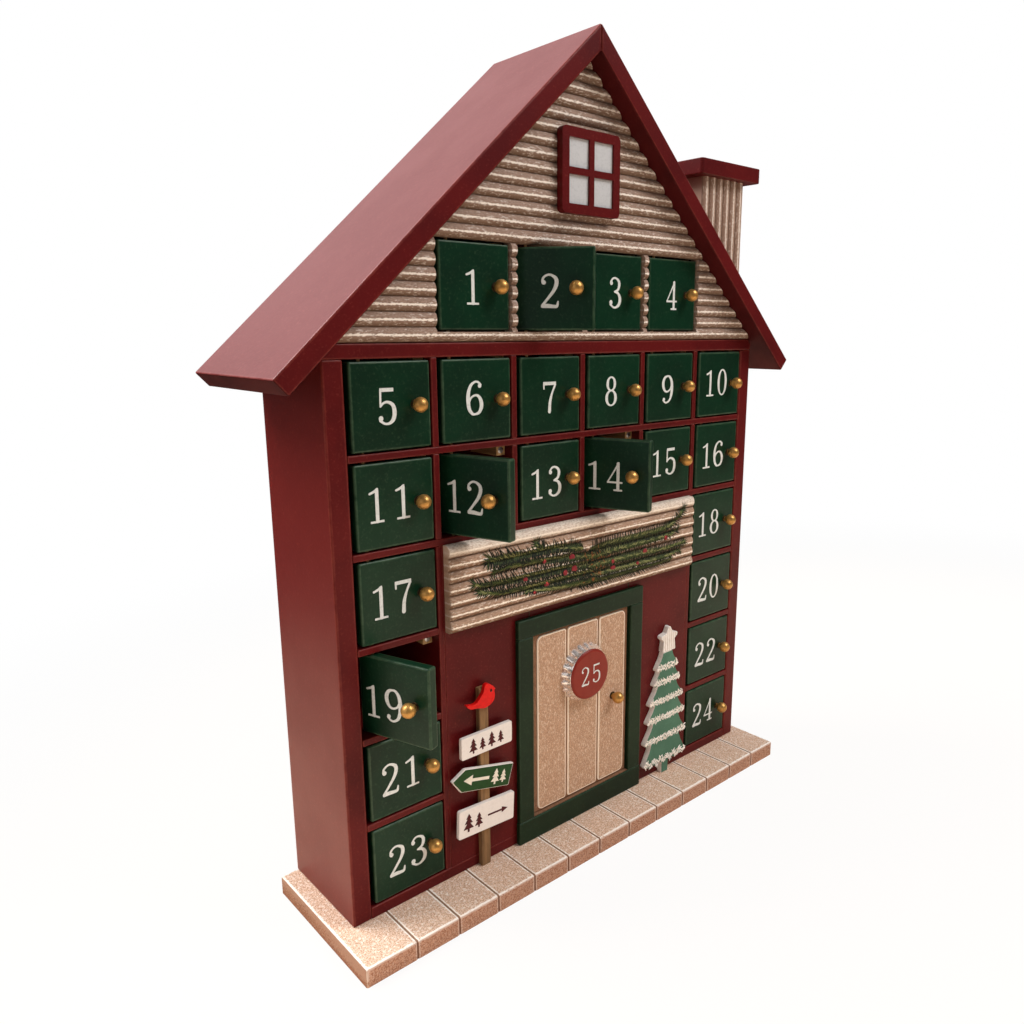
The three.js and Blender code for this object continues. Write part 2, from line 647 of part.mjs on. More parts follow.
function addChimney() {
  const half = STACK_RIBS * STACK_RIB_PITCH / 2;
  const centre = BODY_WIDTH / 2 - STACK_IN;
  const middle = (front - ROOF_FRONT + back + ROOF_BACK) / 2;
  const clear = ridgeTop + PART_GAP / Math.cos(roofPitch);
  const top = ridgeTop - centre * roofSlope + STACK_RISE;
  const foot = clear - (centre + 2 * half) * roofSlope;
  const stackFront = middle - STACK_DEPTH / 2;
  const ribs = ribPoints(STACK_RIBS, STACK_RIB_PITCH, STACK_RIB_DEPTH, centre - half, stackFront + STACK_RIB_DEPTH);
  const rear = ribs.map(([x, y]) => [x, 2 * middle - y]).reverse();
  const stack = solid(raised(outline([...ribs, ...rear]), foot + 1, top));
  const slope = outline([[0, foot - 1], [centre + 2 * half, foot - 1], [centre + 2 * half, foot], [0, clear]]);
  add('chimney_stack', 'beige', stack.subtract(solid(slab(slope, stackFront - 1, 2 * middle - stackFront + 1))));

  const capHalf = half + CHIMNEY_CAP_SIDE;
  const capDepth = STACK_DEPTH / 2 + CHIMNEY_CAP_FRONT;
  const cap = roundedRectangle(centre - capHalf, centre + capHalf, middle - capDepth, middle + capDepth, CAP_CORNER);
  add('chimney_cap', 'red', raised(cap, top, top + CHIMNEY_CAP_THICK, ROOF_EDGE));
}

function addWindow() {
  const half = WINDOW_WIDTH / 2;
  const base = atticOpeningTop + WINDOW_ABOVE_DOORS;
  const top = base + WINDOW_HEIGHT;
  const y0 = sidingFront - WINDOW_THICK;
  let frame = solid(slab(roundedRectangle(-half, half, base, top, WINDOW_CORNER), y0, sidingFront, 0.3, 3));
  const openX = half - WINDOW_BORDER;
  const middle = (base + top) / 2;
  for (const [x0, x1] of [[-openX, -WINDOW_BAR / 2], [WINDOW_BAR / 2, openX]]) {
    frame = frame.subtract(solid(box(x0, x1, y0 - 1, sidingFront + 1, base + WINDOW_BORDER, middle - WINDOW_BAR / 2)));
    frame = frame.subtract(solid(box(x0, x1, y0 - 1, sidingFront + 1, middle + WINDOW_BAR / 2, top - WINDOW_BORDER)));
  }
  const rebate = WINDOW_BORDER / 2;
  frame = frame.subtract(solid(box(rebate - half, half - rebate, y0 + WINDOW_WEB, sidingFront + 1,
    base + rebate, top - rebate)));
  add('window_frame', 'red', frame);
  const lip = rebate + PANE_GAP;
  add('window_panes', 'pane', box(lip - half, half - lip, y0 + WINDOW_WEB + PANE_GAP, sidingFront,
    base + lip, top - lip));
}

// A sign board above the given height on the post, turned about its own centre; gives back its top
function addSign(name, paint, shape, sign, postX, below) {
  const mesh = add(name, paint, slab(shape, -SIGN_THICK, 0, SIGN_EDGE));
  const tilt = THREE.MathUtils.degToRad(sign.tilt);
  const half = sign.height / 2 / Math.cos(tilt);
  mesh.position.set(postX + sign.shift, trimFront, below + sign.gap + half);
  mesh.rotation.y = -tilt;
  return below + sign.gap + 2 * half;
}

function addSignpost() {
  const postX = (bayLeft - frameHalf) / 2 + POST_SHIFT;
  add('sign_post', 'wood', slab(rectangle(postX - POST_WIDTH / 2, postX + POST_WIDTH / 2, deck, deck + POST_HEIGHT),
    trimFront, front, 0.3));
  const { width, height, point, slant } = SIGN_ARROW;
  const arrow = outline([[-width / 2, 0], [point - width / 2, -height / 2], [width / 2 - slant, -height / 2],
    [width / 2, height / 2], [point - width / 2, height / 2]]);
  const lowerTop = addSign('sign_bottom', 'cream', plainSign(SIGN_BOTTOM), SIGN_BOTTOM, postX, deck);
  const arrowTop = addSign('sign_arrow', 'signGreen', arrow, SIGN_ARROW, postX, lowerTop);
  addSign('sign_top', 'cream', plainSign(SIGN_TOP), SIGN_TOP, postX, arrowTop);
  const bird = add('red_bird', 'scarlet', slab(birdOutline(), -SIGN_THICK, 0, 0.3, 4));
  bird.position.set(postX, trimFront, deck + POST_HEIGHT - BIRD_DROP);
}

function plainSign({ width, height }) {
  return rectangle(-width / 2, width / 2, -height / 2, height / 2);
}

// A perching songbird seen from the side, crest up and tail to the left, in tenths of its length
function birdOutline() {
  const u = BIRD_LENGTH / 10;
  const bird = new THREE.Shape();
  bird.moveTo(-6.7 * u, -u);
  bird.quadraticCurveTo(-5.2 * u, -1.6 * u, -3.7 * u, -2.1 * u);
  bird.quadraticCurveTo(-2.6 * u, -1.7 * u, -1.6 * u, -0.2 * u);
  bird.quadraticCurveTo(0.1 * u, 0.6 * u, 0.3 * u, 2.8 * u);
  bird.lineTo(0.8 * u, 3.3 * u);
  bird.quadraticCurveTo(1.8 * u, 3.1 * u, 2.3 * u, 2.2 * u);
  bird.lineTo(3.3 * u, 1.2 * u);
  bird.lineTo(2.9 * u, 0.6 * u);
  bird.quadraticCurveTo(3.6 * u, -3.2 * u, 0.6 * u, -4 * u);
  bird.quadraticCurveTo(-1.2 * u, -4.1 * u, -3.4 * u, -3 * u);
  bird.lineTo(-6.3 * u, -2 * u);
  return bird;
}

function addTree() {
  const centre = (bayRight + frameHalf) / 2 + TREE_SHIFT;
  const drop = TREE_TOP - TREE_SKIRT;
  const side = [[TREE_TOP_HALF, TREE_TOP - PART_GAP]];
  TREE_TIPS.forEach((share, i) => {
    const tip = TREE_HALF_WIDTH * share;
    const level = TREE_TOP - drop * TREE_FALLS[i];
    side.push([tip, level]);
    if (i + 1 < TREE_TIPS.length) {
      side.push([tip * TREE_NOTCH, level + TREE_LIFT]);
    }
  });
  side.push([TRUNK_WIDTH / 2, TREE_SKIRT - TREE_LIFT], [TRUNK_WIDTH / 2, 0]);
  const mirrored = side.map(([x, z]) => [-x, z]);
  const points = [...side.reverse(), ...mirrored].map(([x, z]) => [centre + x, deck + z]);
  add('fir_tree', 'firGreen', slab(outline(points), front - TREE_THICK, front, TREE_EDGE));

  const half = STAR_POINTS.map(([x, z]) => [x * STAR_HALF_WIDTH, z * STAR_HEIGHT]);
  const star = [...half, ...half.slice(1).reverse().map(([x, z]) => [-x, z])];
  const placed = star.map(([x, z]) => [centre + STAR_SHIFT + x, deck + TREE_TOP + z]);
  add('tree_star', 'cream', slab(outline(placed), front - TREE_THICK, front, TREE_EDGE));
}

addPlinth();
addCarcass();
addFrontPanel();
addLargeDoor();
addSmallDoors();
addGarlandBoard();
addSiding();
addRoof();
addChimney();
addWindow();
addSignpost();
addTree();

export default calendar;
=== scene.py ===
import json
import math
import random

import bmesh
import bpy
import numpy as np
from mathutils import Matrix, Vector, noise


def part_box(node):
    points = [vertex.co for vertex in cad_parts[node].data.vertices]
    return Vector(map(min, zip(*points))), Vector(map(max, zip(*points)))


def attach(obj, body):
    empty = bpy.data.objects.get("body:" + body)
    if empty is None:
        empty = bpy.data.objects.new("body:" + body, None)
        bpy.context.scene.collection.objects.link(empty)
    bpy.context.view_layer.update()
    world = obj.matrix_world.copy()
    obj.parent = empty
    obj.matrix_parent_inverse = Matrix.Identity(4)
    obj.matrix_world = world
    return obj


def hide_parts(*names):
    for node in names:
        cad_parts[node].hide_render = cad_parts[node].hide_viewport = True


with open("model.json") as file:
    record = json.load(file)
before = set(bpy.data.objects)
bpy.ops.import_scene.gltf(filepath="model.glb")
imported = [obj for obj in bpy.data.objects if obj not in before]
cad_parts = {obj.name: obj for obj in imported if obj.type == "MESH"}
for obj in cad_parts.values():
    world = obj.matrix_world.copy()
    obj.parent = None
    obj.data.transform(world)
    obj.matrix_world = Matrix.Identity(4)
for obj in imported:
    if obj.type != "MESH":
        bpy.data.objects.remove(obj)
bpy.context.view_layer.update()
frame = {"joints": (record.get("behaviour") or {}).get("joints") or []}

# Sizes in millimetres, in the part's own frame
MM = 0.001
COLUMNS = 6
ROWS = 6
DIVIDER = 3
SHELF = 3
CELL_HEIGHT = 37.5
DOOR_THICK = 5
DOOR_EDGE = 0.8
DOOR_SETBACK = 0.2
ATTIC_SETBACK = 1.8
PIVOT_IN = 8
PIN_REACH = 1.1
PIN_INSIDE = 0.5
GAP_LEFT = 2.4
LEAF_GAP_LEFT = 1.2
GAP_RIGHT = 0.6
GAP_TOP = 1
GAP_BOTTOM = 0.7
KNOB_RADIUS = 3.2
KNOB_NECK = 1.35
KNOB_STAND = 4.3
KNOB_IN = 8.3
CATCH_SIZE = 5
CATCH_LENGTH = 20
CATCH_GAP = 0.2
CATCH_DROP = 9.3
CATCH_LAP = 4
DIGIT_HEIGHT = 15
DIGIT_STEP = 11.2
DIGIT_CENTRES = (19.4, 18)
DIGIT_DROP = 0.2
PRINT_THICK = 0.12
PRINT_SUNK = 0.02
RIB_PITCH = 6
RIB_DEPTH = 1.8
BOARD_RIBS = 7
STACK_RIBS = 6
STACK_RIB_DEPTH = 1.4
PLINTH_BLOCK = 22.16
LEAF_THICK = 5.6
PLANK_PROUD = 0.7
LEAF_KNOB_IN = 11.6
CAP_DROP = 27.6
PANEL_THICK = 5
PLANK_SIDE = 2.5
PLANK_END = 0.9
PLANK_GAP = 1.3
PLANK_CORNERS = (3.2, 1.5)
CAP_TEETH = 21
CAP_TOOTH_DEPTH = 1.35
CAP_SKIRT_LEVELS = 7
CAP_TALL = 6.02
CAP_DIGIT_SCALE = 0.7
AMBIENT = 0.38
GLOSS_FRONT = 0.05
ROOF_SLOPE = math.radians(42.8)
ROOF_THICK = 8.3
ATTIC_DOOR_HEIGHT = 38
ATTIC_SEAT = 3.7
TREE_SKIRT = 8.5
TREE_TIERS = ((0.5, 0.15), (0.61, 0.28), (0.79, 0.45), (0.88, 0.61), (0.98, 0.8), (1.0, 1.0))
PLINTH_ROUND = 0.9
WINDOW_BORDER = 4.25
WINDOW_BAR = 3
GROOVE = ((0, 0.42), (0.16, 0.36), (0.38, 0.18), (0.6, 0.04), (0.95, 0), (1.5, 0))
WHITE_SIGNS = (("sign_top", 0, 29.9, 10.8), ("sign_bottom", -3, 33.2, 14.4))
ARROW_SIGN = (36, 11.3, 6.3, 0.7)
ARROW_TILT = 13.8
BIRD_UNIT = 1.68
STAR_RIB = 1.7
CEILING = 3
NEEDLE_STEP = 1.3
TWIGS = 70
NAIL_HOLES = ((-110, 11.8), (-92.4, 11.8), (-9, 96.2), (14, 96.0))
CAMERA_LENS = 29.17
CAMERA_SHIFT = (-0.0407, 0.0012)
CAMERA_PLACE = (-0.28375, -0.30914, 0.26483)
CAMERA_DOWN = 12.363
CAMERA_TURN = -42.0
LAMPS = (
    ("key", (0.6, -0.8, 1.3), (0, 0, 0.15), 0.6, 15),
    ("fill", (-1.3, -0.2, 0.5), (0, 0, 0.15), 1.0, 2.5),
    ("top", (-0.7, 0.6, 1.3), (0, 0, 0.25), 0.8, 27),
)
TABLE_CENTRE = (0.16, -0.2, 0)
TABLE_REACH = (0.4, 0.85)
TABLE_NEAR = (0.95, 0.76, 0.58, 1)
TABLE_FAR = (0.06, 0.06, 0.06, 1)
NUMBER_SHIFT = {
    3: 0.9, 4: 0.9, 5: -0.8, 7: 0.6, 8: -1, 9: -0.7, 12: -1.7, 13: -0.5, 14: -2.2, 15: -0.7, 16: -0.8,
    17: -0.8, 18: -1.8, 19: -3, 20: 0.4, 23: 1.6,
}
NUMBER_RISE = {
    2: -1, 6: 1, 7: -1, 9: -1, 10: 0.9, 11: 0.9, 13: -0.9, 14: -0.7, 19: -2, 21: -0.7, 22: -0.7, 23: -1,
}
REST_ANGLE = {2: 50, 12: 72, 14: 67, 19: 71}

random.seed(25)


def corners(node):
    low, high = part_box(node)
    return low / MM, high / MM


def rgb(red, green, blue):
    """A colour written as on a screen, 0 to 255, as the shader wants it."""
    def channel(value):
        value /= 255
        return value / 12.92 if value <= 0.04045 else ((value + 0.055) / 1.055) ** 2.4
    return channel(red), channel(green), channel(blue), 1


SIDING_BASE = corners("gable_siding")[0].z
BOARD_BASE = corners("garland_board")[0].z
BOARD_PITCH = (corners("garland_board")[1].z - BOARD_BASE) / BOARD_RIBS
STACK_BASE = corners("chimney_stack")[0].x
STACK_PITCH = (corners("chimney_stack")[1].x - STACK_BASE) / STACK_RIBS


# Materials


class Graph:
    """A tree of shader nodes, added one call at a time."""

    def __init__(self, tree):
        tree.nodes.clear()
        self.tree = tree
        self.coordinates = self.add("TexCoord").outputs
        self.place = self.coordinates["Object"]

    def add(self, kind, inputs=(), **settings):
        """A new node with its settings, and its inputs by name or number."""
        node = self.tree.nodes.new("ShaderNode" + kind)
        for name, value in settings.items():
            setattr(node, name, value)
        for key, value in dict(inputs).items():
            self.put(value, node.inputs[key])
        return node

    def put(self, value, socket):
        """Links an output to the socket or writes a value there; a row of three is a screen colour."""
        if isinstance(value, bpy.types.NodeSocket):
            self.tree.links.new(value, socket)
        elif isinstance(value, tuple) and len(value) == 3:
            socket.default_value = rgb(*value)
        else:
            socket.default_value = value

    def noise(self, scale, detail=2.0, rough=0.5, stretch=None):
        place = self.place
        if stretch:
            place = self.add("Mapping", {"Vector": place, "Scale": Vector(stretch)}).outputs[0]
        node = self.add("TexNoise", {"Vector": place, "Scale": scale, "Detail": detail, "Roughness": rough})
        return node.outputs["Fac"]

    def step(self, value, low, high, bottom=0.0, top=1.0):
        """Runs smoothly from bottom to top while value goes from low to high."""
        inputs = enumerate((value, low, high, bottom, top))
        return self.add("MapRange", inputs, interpolation_type="SMOOTHSTEP").outputs[0]

    def calc(self, operation, a, b=0.0):
        return self.add("Math", {0: a, 1: b}, operation=operation).outputs[0]

    def scaled(self, value, factor, centre=0.0):
        """The value times the factor, counted from the centre."""
        return self.calc("MULTIPLY", self.calc("SUBTRACT", value, centre) if centre else value, factor)

    def mix(self, share, a, b, blend="MIX"):
        node = self.add("Mix", {"Factor": share}, data_type="RGBA", blend_type=blend)
        self.put(a, node.inputs[6])
        self.put(b, node.inputs[7])
        return node.outputs[2]

    def attribute(self, name):
        return self.add("Attribute", attribute_name=name).outputs["Fac"]

    def part_of(self, vector, axis):
        return self.add("SeparateXYZ", {0: vector}).outputs[axis]

    def turned(self, axis, low, high):
        """How far a face is turned along the axis, either way."""
        return self.step(self.calc("ABSOLUTE", self.part_of(self.coordinates["Normal"], axis)), low, high)


class Surface(Graph):
    """A material for the object, with its one shader."""

    def __init__(self, name):
        self.material = bpy.data.materials.new(name)
        self.material.use_nodes = True
        super().__init__(self.material.node_tree)
        self.shader = self.add("BsdfPrincipled")
        self.add("OutputMaterial", {0: self.shader.outputs[0]})

    def bump(self, height, strength, distance):
        node = self.add("Bump", {"Strength": strength, "Distance": distance, "Height": height})
        self.put(node.outputs[0], self.shader.inputs["Normal"])

    def set(self, **values):
        for name, value in values.items():
            self.put(value, self.shader.inputs[name.replace("_", " ")])


def paint(name, base, deep, pale, worn=0.0, rough=0.45, peel=0.5, grain=None, gloss=0.3):
    """Brushed or sprayed paint on wood: soft blotches, fine stipple and paler worn edges."""
    g = Surface(name)
    blotch = g.noise(28, 3, 0.6)
    colour = g.mix(g.step(blotch, 0.35, 0.7), base, deep)
    fine = g.noise(900, 3, 0.6)
    colour = g.mix(g.step(fine, 0.52, 0.8, 0, 0.22), colour, pale)
    if grain:
        streak = g.noise(60, 4, 0.65, grain)
        colour = g.mix(g.step(streak, 0.5, 0.8, 0, 0.3), colour, deep)
    if worn:
        patch = g.calc("ADD", g.attribute("edge"), g.scaled(g.noise(220, 3, 0.7), 0.9))
        colour = g.mix(g.step(patch, 1.12, 1.62, 0, worn), colour, pale)
    specks = g.step(g.noise(420, 1, 0.4), 0.74, 0.8, 0, 0.15)
    colour = g.mix(specks, colour, pale)
    height = g.calc("ADD", g.scaled(g.noise(750, 2, 0.5), peel), g.scaled(fine, 0.35))
    g.set(Base_Color=colour, Roughness=g.step(blotch, 0.3, 0.7, rough - 0.02, rough + 0.03))
    g.set(Specular_IOR_Level=gloss)
    g.bump(height, 0.3, 0.00014)
    return g.material


def brushed(name, stretch, deep, base, high, white=(0.8, 1.1), scale=900, ragged=1.0, wear=0.9, speckle=0.5,
            painted_face_shades=()):
    """Beige paint rubbed over with white, which holds on the rims and catches the grain of the flats, with
    painted shade on faces turned along the given axes.
    """
    g = Surface(name)
    streak = g.noise(scale, 3, 0.65, stretch)
    grain = g.noise(scale * 1.7, 2, 0.5, stretch)
    blotch = g.noise(45, 3, 0.6)
    colour = g.mix(g.step(grain, 0.4, 0.62, 0, speckle), base, deep)
    colour = g.mix(g.step(streak, 0.5, 0.68, 0, speckle * 0.8), colour, high)
    rub = g.calc("ADD", g.attribute("edge"), g.scaled(streak, ragged * 1.5, 0.5))
    rub = g.calc("ADD", rub, g.scaled(blotch, ragged * 0.5, 0.5))
    colour = g.mix(g.step(rub, white[0], white[1], 0, wear), colour, high)
    colour = g.mix(g.step(g.attribute("gap"), 0.3, 0.9, 0, 0.8), colour, (128, 90, 66))
    # Painted shade: faces turned along each axis are multiplied darker.
    for axis, shade in painted_face_shades:
        colour = g.mix(g.turned(axis, 0.6, 0.95), colour, g.mix(1.0, colour, shade, "MULTIPLY"))
    g.set(Base_Color=colour, Roughness=g.step(streak, 0.3, 0.7, 0.62, 0.8), Specular_IOR_Level=0.2)
    g.bump(g.calc("ADD", grain, g.scaled(streak, 0.7)), 0.5, 0.00018)
    return g.material


def rib_paint(name, axis, start, pitch, stretch, painted_valley_shade, low, mid, high, line_at=0.46, crown=None):
    """Beige paint on round ribs: a broken white line where each stands out most, and painted shade on the
    lower half of each rib (the left half of upright ribs) and in the valleys between.
    """
    g = Surface(name)
    along = g.part_of(g.place, axis)
    streak = g.noise(950, 3, 0.65, stretch)
    grain = g.noise(1700, 2, 0.5, stretch)
    drift = g.noise(70, 2, 0.5, stretch)
    from_start = g.calc("SUBTRACT", along, start * MM)
    share = g.calc("FRACT", g.calc("DIVIDE", from_start, pitch * MM))
    # Painted shade: the lower half of each rib takes the low tone.
    colour = g.mix(g.step(share, 0.1, 0.5), low, mid)
    colour = g.mix(g.step(grain, 0.42, 0.62, 0, 0.5), colour, low)
    colour = g.mix(g.step(streak, 0.52, 0.68, 0, 0.45), colour, high)
    # Painted shade: darker towards each valley between the ribs, but not on the crown.
    near = g.calc("MINIMUM", share, g.calc("SUBTRACT", 1.0, share))
    shade = g.step(near, 0.02, 0.12, 0.65, 0)
    if crown:
        crown = [edge * MM for edge in crown]
        shade = g.scaled(shade, g.step(along, *crown, 1, 0))
    colour = g.mix(shade, colour, painted_valley_shade)
    wavy = g.calc("ADD", share, g.scaled(drift, 0.1))
    off = g.calc("ABSOLUTE", g.calc("SUBTRACT", wavy, line_at + 0.05))
    off = g.calc("ADD", off, g.scaled(grain, 0.2, 0.5))
    white = g.scaled(g.step(off, 0.05, 0.09, 1, 0), g.step(streak, 0.34, 0.44, 0.2, 1))
    if crown:
        broad = g.scaled(g.step(along, *crown), g.step(grain, 0.36, 0.6, 0.3, 0.75))
        white = g.calc("MAXIMUM", white, broad)
    colour = g.mix(g.scaled(white, 0.9), colour, high)
    colour = g.mix(g.scaled(g.turned("X", 0.8, 0.92), 0.75), colour, mid)
    g.set(Base_Color=colour, Roughness=g.step(streak, 0.3, 0.7, 0.6, 0.78), Specular_IOR_Level=0.2)
    g.bump(g.calc("ADD", grain, g.scaled(streak, 0.7)), 0.5, 0.00018)
    return g.material


def wood(name, base, dark, grain):
    g = Surface(name)
    streak = g.noise(120, 5, 0.65, grain)
    pore = g.noise(700, 2, 0.6, grain)
    colour = g.mix(g.step(streak, 0.35, 0.7), base, dark)
    colour = g.mix(g.step(pore, 0.55, 0.75, 0, 0.4), colour, dark)
    g.set(Base_Color=colour, Roughness=0.72)
    g.bump(g.calc("ADD", streak, g.scaled(pore, 0.5)), 0.4, 0.0001)
    return g.material


def metal(name, base, tint, rough, dirt=0.25, metallic=1.0):
    g = Surface(name)
    smear = g.noise(350, 3, 0.6)
    g.set(Base_Color=g.mix(g.step(smear, 0.45, 0.75, 0, dirt), base, tint), Metallic=metallic)
    g.set(Roughness=g.step(g.noise(900, 2, 0.6), 0.3, 0.7, rough - 0.06, rough + 0.1))
    g.bump(smear, 0.12, 0.0001)
    return g.material


def plain(name, base, shade, rough=0.5, scale=500):
    g = Surface(name)
    share = g.step(g.noise(scale, 3, 0.6), 0.42, 0.72, 0, 0.5)
    g.set(Base_Color=g.mix(share, base, shade), Roughness=rough, Specular_IOR_Level=0.25)
    g.bump(g.noise(scale * 2, 2, 0.5), 0.2, 0.00008)
    return g.material


RED = paint("red_paint", (92, 19, 20), (78, 13, 15), (150, 70, 58), 0.3, 0.36, 0.5, None, 0.14)
# A lighter copy of the red paint: painted light on the sides of the walls.
RED_WALL_PAINTED_LIGHT = paint("red_wall_painted_light", (106, 26, 22), (102, 23, 20), (160, 80, 64), 0.3, 0.36, 0.5, None, 0.3)
# A lighter copy of the red paint: painted light on the roof's slopes.
RED_ROOF_PAINTED_LIGHT = paint("red_roof_painted_light", (114, 34, 33), (109, 31, 30), (190, 112, 106), 0.25, 0.36, 1.1, None, 0.27)
# A darker copy of the red paint: painted shade inside the attic and under the roof.
RED_PAINTED_SHADE = paint("red_paint_painted_shade", (76, 17, 18), (58, 12, 14), (100, 44, 40), 0, 0.6, 0.5, None, 0.1)
GREEN = paint("green_paint", (9, 46, 28), (6, 37, 22), (76, 98, 74), 0.5, 0.32, 0.5, (8, 8, 1), 0.22)
GREEN_TRIM = paint("green_trim_paint", (20, 42, 24), (14, 33, 19), (62, 84, 60), 0.3, 0.38, 0.5, None, 0.18)
# The low and valley tones of the rib paints below are painted shade.
SIDING = rib_paint("beige_siding_paint", "Z", SIDING_BASE, RIB_PITCH, (0.45, 1.3, 1.3), (110, 87, 73),
                   (124, 98, 82), (156, 127, 110), (250, 238, 226))
BOARD = rib_paint("beige_board_paint", "Z", BOARD_BASE, BOARD_PITCH, (0.45, 1.3, 1.3), (92, 66, 50),
                  (126, 95, 74), (174, 140, 116), (255, 242, 226), 0.46,
                  (BOARD_BASE + 6 * BOARD_PITCH, BOARD_BASE + 6.4 * BOARD_PITCH))
STACK = rib_paint("beige_chimney_paint", "X", STACK_BASE, STACK_PITCH, (1.3, 1.3, 0.45), (108, 84, 70),
                  (146, 116, 98), (168, 138, 120), (232, 216, 202))
# The plinth's front and side faces are darkened: painted shade.
PLINTH = brushed("beige_plinth_paint", (1.2, 1.2, 1.2), (176, 132, 104), (232, 198, 172),
                 (250, 238, 226), (0.6, 0.95), 900, 1.1, 0.95, 0.9,
                 (("Y", (206, 184, 176)), ("X", (166, 134, 117))))
PLANK = brushed("whitewashed_plank_paint", (1.5, 1.5, 0.55), (136, 98, 72), (196, 156, 127),
                (250, 230, 208), (0.55, 0.85), 1500, 0.3, 0.95, 0.65)
PLANK_BACK = brushed("plank_backing_paint", (1.5, 1.5, 0.5), (104, 70, 50), (140, 100, 74),
                     (176, 140, 114), (1.1, 1.7))
CREAM = plain("cream_paint", (233, 223, 216), (222, 211, 203), 0.45, 900)
SIGN_GREEN = plain("sign_green_paint", (26, 66, 26), (20, 52, 20), 0.5)
MARK_RED = plain("mark_red_paint", (74, 16, 22), (58, 12, 16), 0.5)
MARK_CREAM = plain("mark_cream_paint", (232, 222, 205), (210, 196, 178), 0.5)
NUMBER = plain("number_white_paint", (222, 222, 218), (186, 190, 184), 0.55, 900)
POST = wood("post_wood", (148, 110, 68), (96, 66, 38), (2.2, 2.2, 0.18))
BLOCK_WOOD = wood("catch_wood", (196, 158, 108), (150, 112, 70), (2, 0.2, 2))
PIN_WOOD = wood("pin_wood", (190, 150, 104), (140, 104, 66), (2, 2, 0.4))
SCARLET = plain("scarlet_paint", (218, 14, 10), (180, 8, 8), 0.45)
BLACK = plain("eye_black", (14, 12, 12), (6, 6, 6), 0.3)
FIR = paint("fir_paint", (84, 123, 101), (70, 107, 87), (130, 160, 138), 0.2, 0.6, 0.6, None, 0.2)
SNOW = plain("snow_cream_paint", (250, 240, 230), (222, 204, 190), 0.6, 900)
STAR = brushed("star_paint", (1.5, 1.5, 0.3), (208, 192, 180), (232, 220, 210), (250, 244, 238), (0.3, 1.0))
PANE = plain("pane_paint", (198, 197, 198), (180, 179, 180), 0.55, 900)
BRASS = metal("brass", (200, 150, 82), (140, 100, 54), 0.4, 0.4, 0.75)
# Dark steel for the knob collars, dark also as painted shade at the knobs' feet.
COLLAR_AND_PAINTED_SHADE = metal("knob_collar_steel_and_painted_shade", (70, 58, 42), (44, 36, 26), 0.5)
STEEL = metal("screw_steel", (184, 184, 186), (110, 110, 112), 0.32)
TINPLATE = metal("cap_tinplate", (250, 242, 238), (222, 176, 160), 0.2, 0.35, 0.78)
CAP_RED = plain("cap_red_lacquer", (132, 40, 29), (122, 34, 25), 0.36, 250)
NEEDLES = [
    plain("needle_dark", (26, 32, 18), (14, 20, 10), 0.7),
    plain("needle_green", (66, 78, 36), (48, 58, 28), 0.7),
    plain("needle_olive", (132, 130, 78), (104, 102, 58), 0.7),
    plain("twig_brown", (150, 92, 48), (96, 56, 30), 0.7),
    plain("branch_shade", (92, 90, 56), (60, 64, 38), 0.75, 700),
]
BERRY = plain("berry_red", (136, 38, 44), (96, 24, 30), 0.5)
BERRY_SHINE = plain("berry_shine", (226, 84, 78), (190, 50, 50), 0.5)
# Dark discs in place of nail holes: painted shade inside the holes.
NAIL_HOLE_PAINTED_SHADE = plain("nail_hole_painted_shade", (40, 26, 20), (20, 12, 10), 0.9)


# Mesh building, all in millimetres


def shift(*place):
    return Matrix.Translation(place)


def face_out(bm):
    """Turns every face of a closed shape outwards."""
    bmesh.ops.recalc_face_normals(bm, faces=bm.faces)


def add_object(name, data):
    made = bpy.data.objects.new(name, data)
    bpy.context.scene.collection.objects.link(made)
    return made


def finish_mesh(name, bm, materials, body="house", replaces=(), sharp=40, turn=None):
    """Makes the piece, which rides its body and wears the given paints."""
    if turn:
        bmesh.ops.transform(bm, matrix=turn, verts=bm.verts)
    mesh = bpy.data.meshes.new(name)
    bm.to_mesh(mesh)
    bm.free()
    mesh.transform(Matrix.Scale(MM, 4))
    mesh.polygons.foreach_set("use_smooth", [True] * len(mesh.polygons))
    mesh.set_sharp_from_angle(angle=math.radians(sharp))
    for material in materials:
        mesh.materials.append(material)
    piece = add_object(name, mesh)
    flatten_shading(piece)
    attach(piece, body)
    if replaces:
        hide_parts(*replaces)
    return piece


def flatten_shading(piece):
    """Lets the big faces keep their own normals, so that only the rounded edges look round."""
    modifier = piece.modifiers.new("normals", "WEIGHTED_NORMAL")
    modifier.keep_sharp = True
    modifier.weight = 90
    plain = piece.data
    graph = bpy.context.evaluated_depsgraph_get()
    shaded = bpy.data.meshes.new_from_object(piece.evaluated_get(graph), preserve_all_data_layers=True,
                                             depsgraph=graph)
    piece.modifiers.clear()
    piece.data = shaded
    bpy.data.meshes.remove(plain)
    shaded.name = piece.name


def soften(bm, radius, loop, segments=3):
    """Rounds the sharp edges and marks them in the edge attribute, which fades over loop on the flats."""
    face_out(bm)
    normals = [f.normal.copy() for f in bm.faces]
    sharp = [e for e in bm.edges if len(e.link_faces) == 2 and e.calc_face_angle(0) > math.radians(20)]
    bmesh.ops.bevel(bm, geom=sharp, offset=radius, segments=segments, profile=0.5, affect="EDGES",
                    clamp_overlap=True)
    bm.normal_update()
    flats = [f for f in bm.faces if f.calc_area() > 1 and any(f.normal.dot(n) > 0.9999 for n in normals)]
    if loop:
        bmesh.ops.inset_individual(bm, faces=flats, thickness=loop, use_even_offset=True)
    edge = bm.verts.layers.float.new("edge")
    for vert in bm.verts:
        vert[edge] = 1
    for face in flats:
        for vert in face.verts:
            vert[edge] = 0


def repaint(piece, material, wanted):
    """Gives the material to the wanted faces."""
    piece.data.materials.append(material)
    for face in piece.data.polygons:
        if wanted(face):
            face.material_index = len(piece.data.materials) - 1


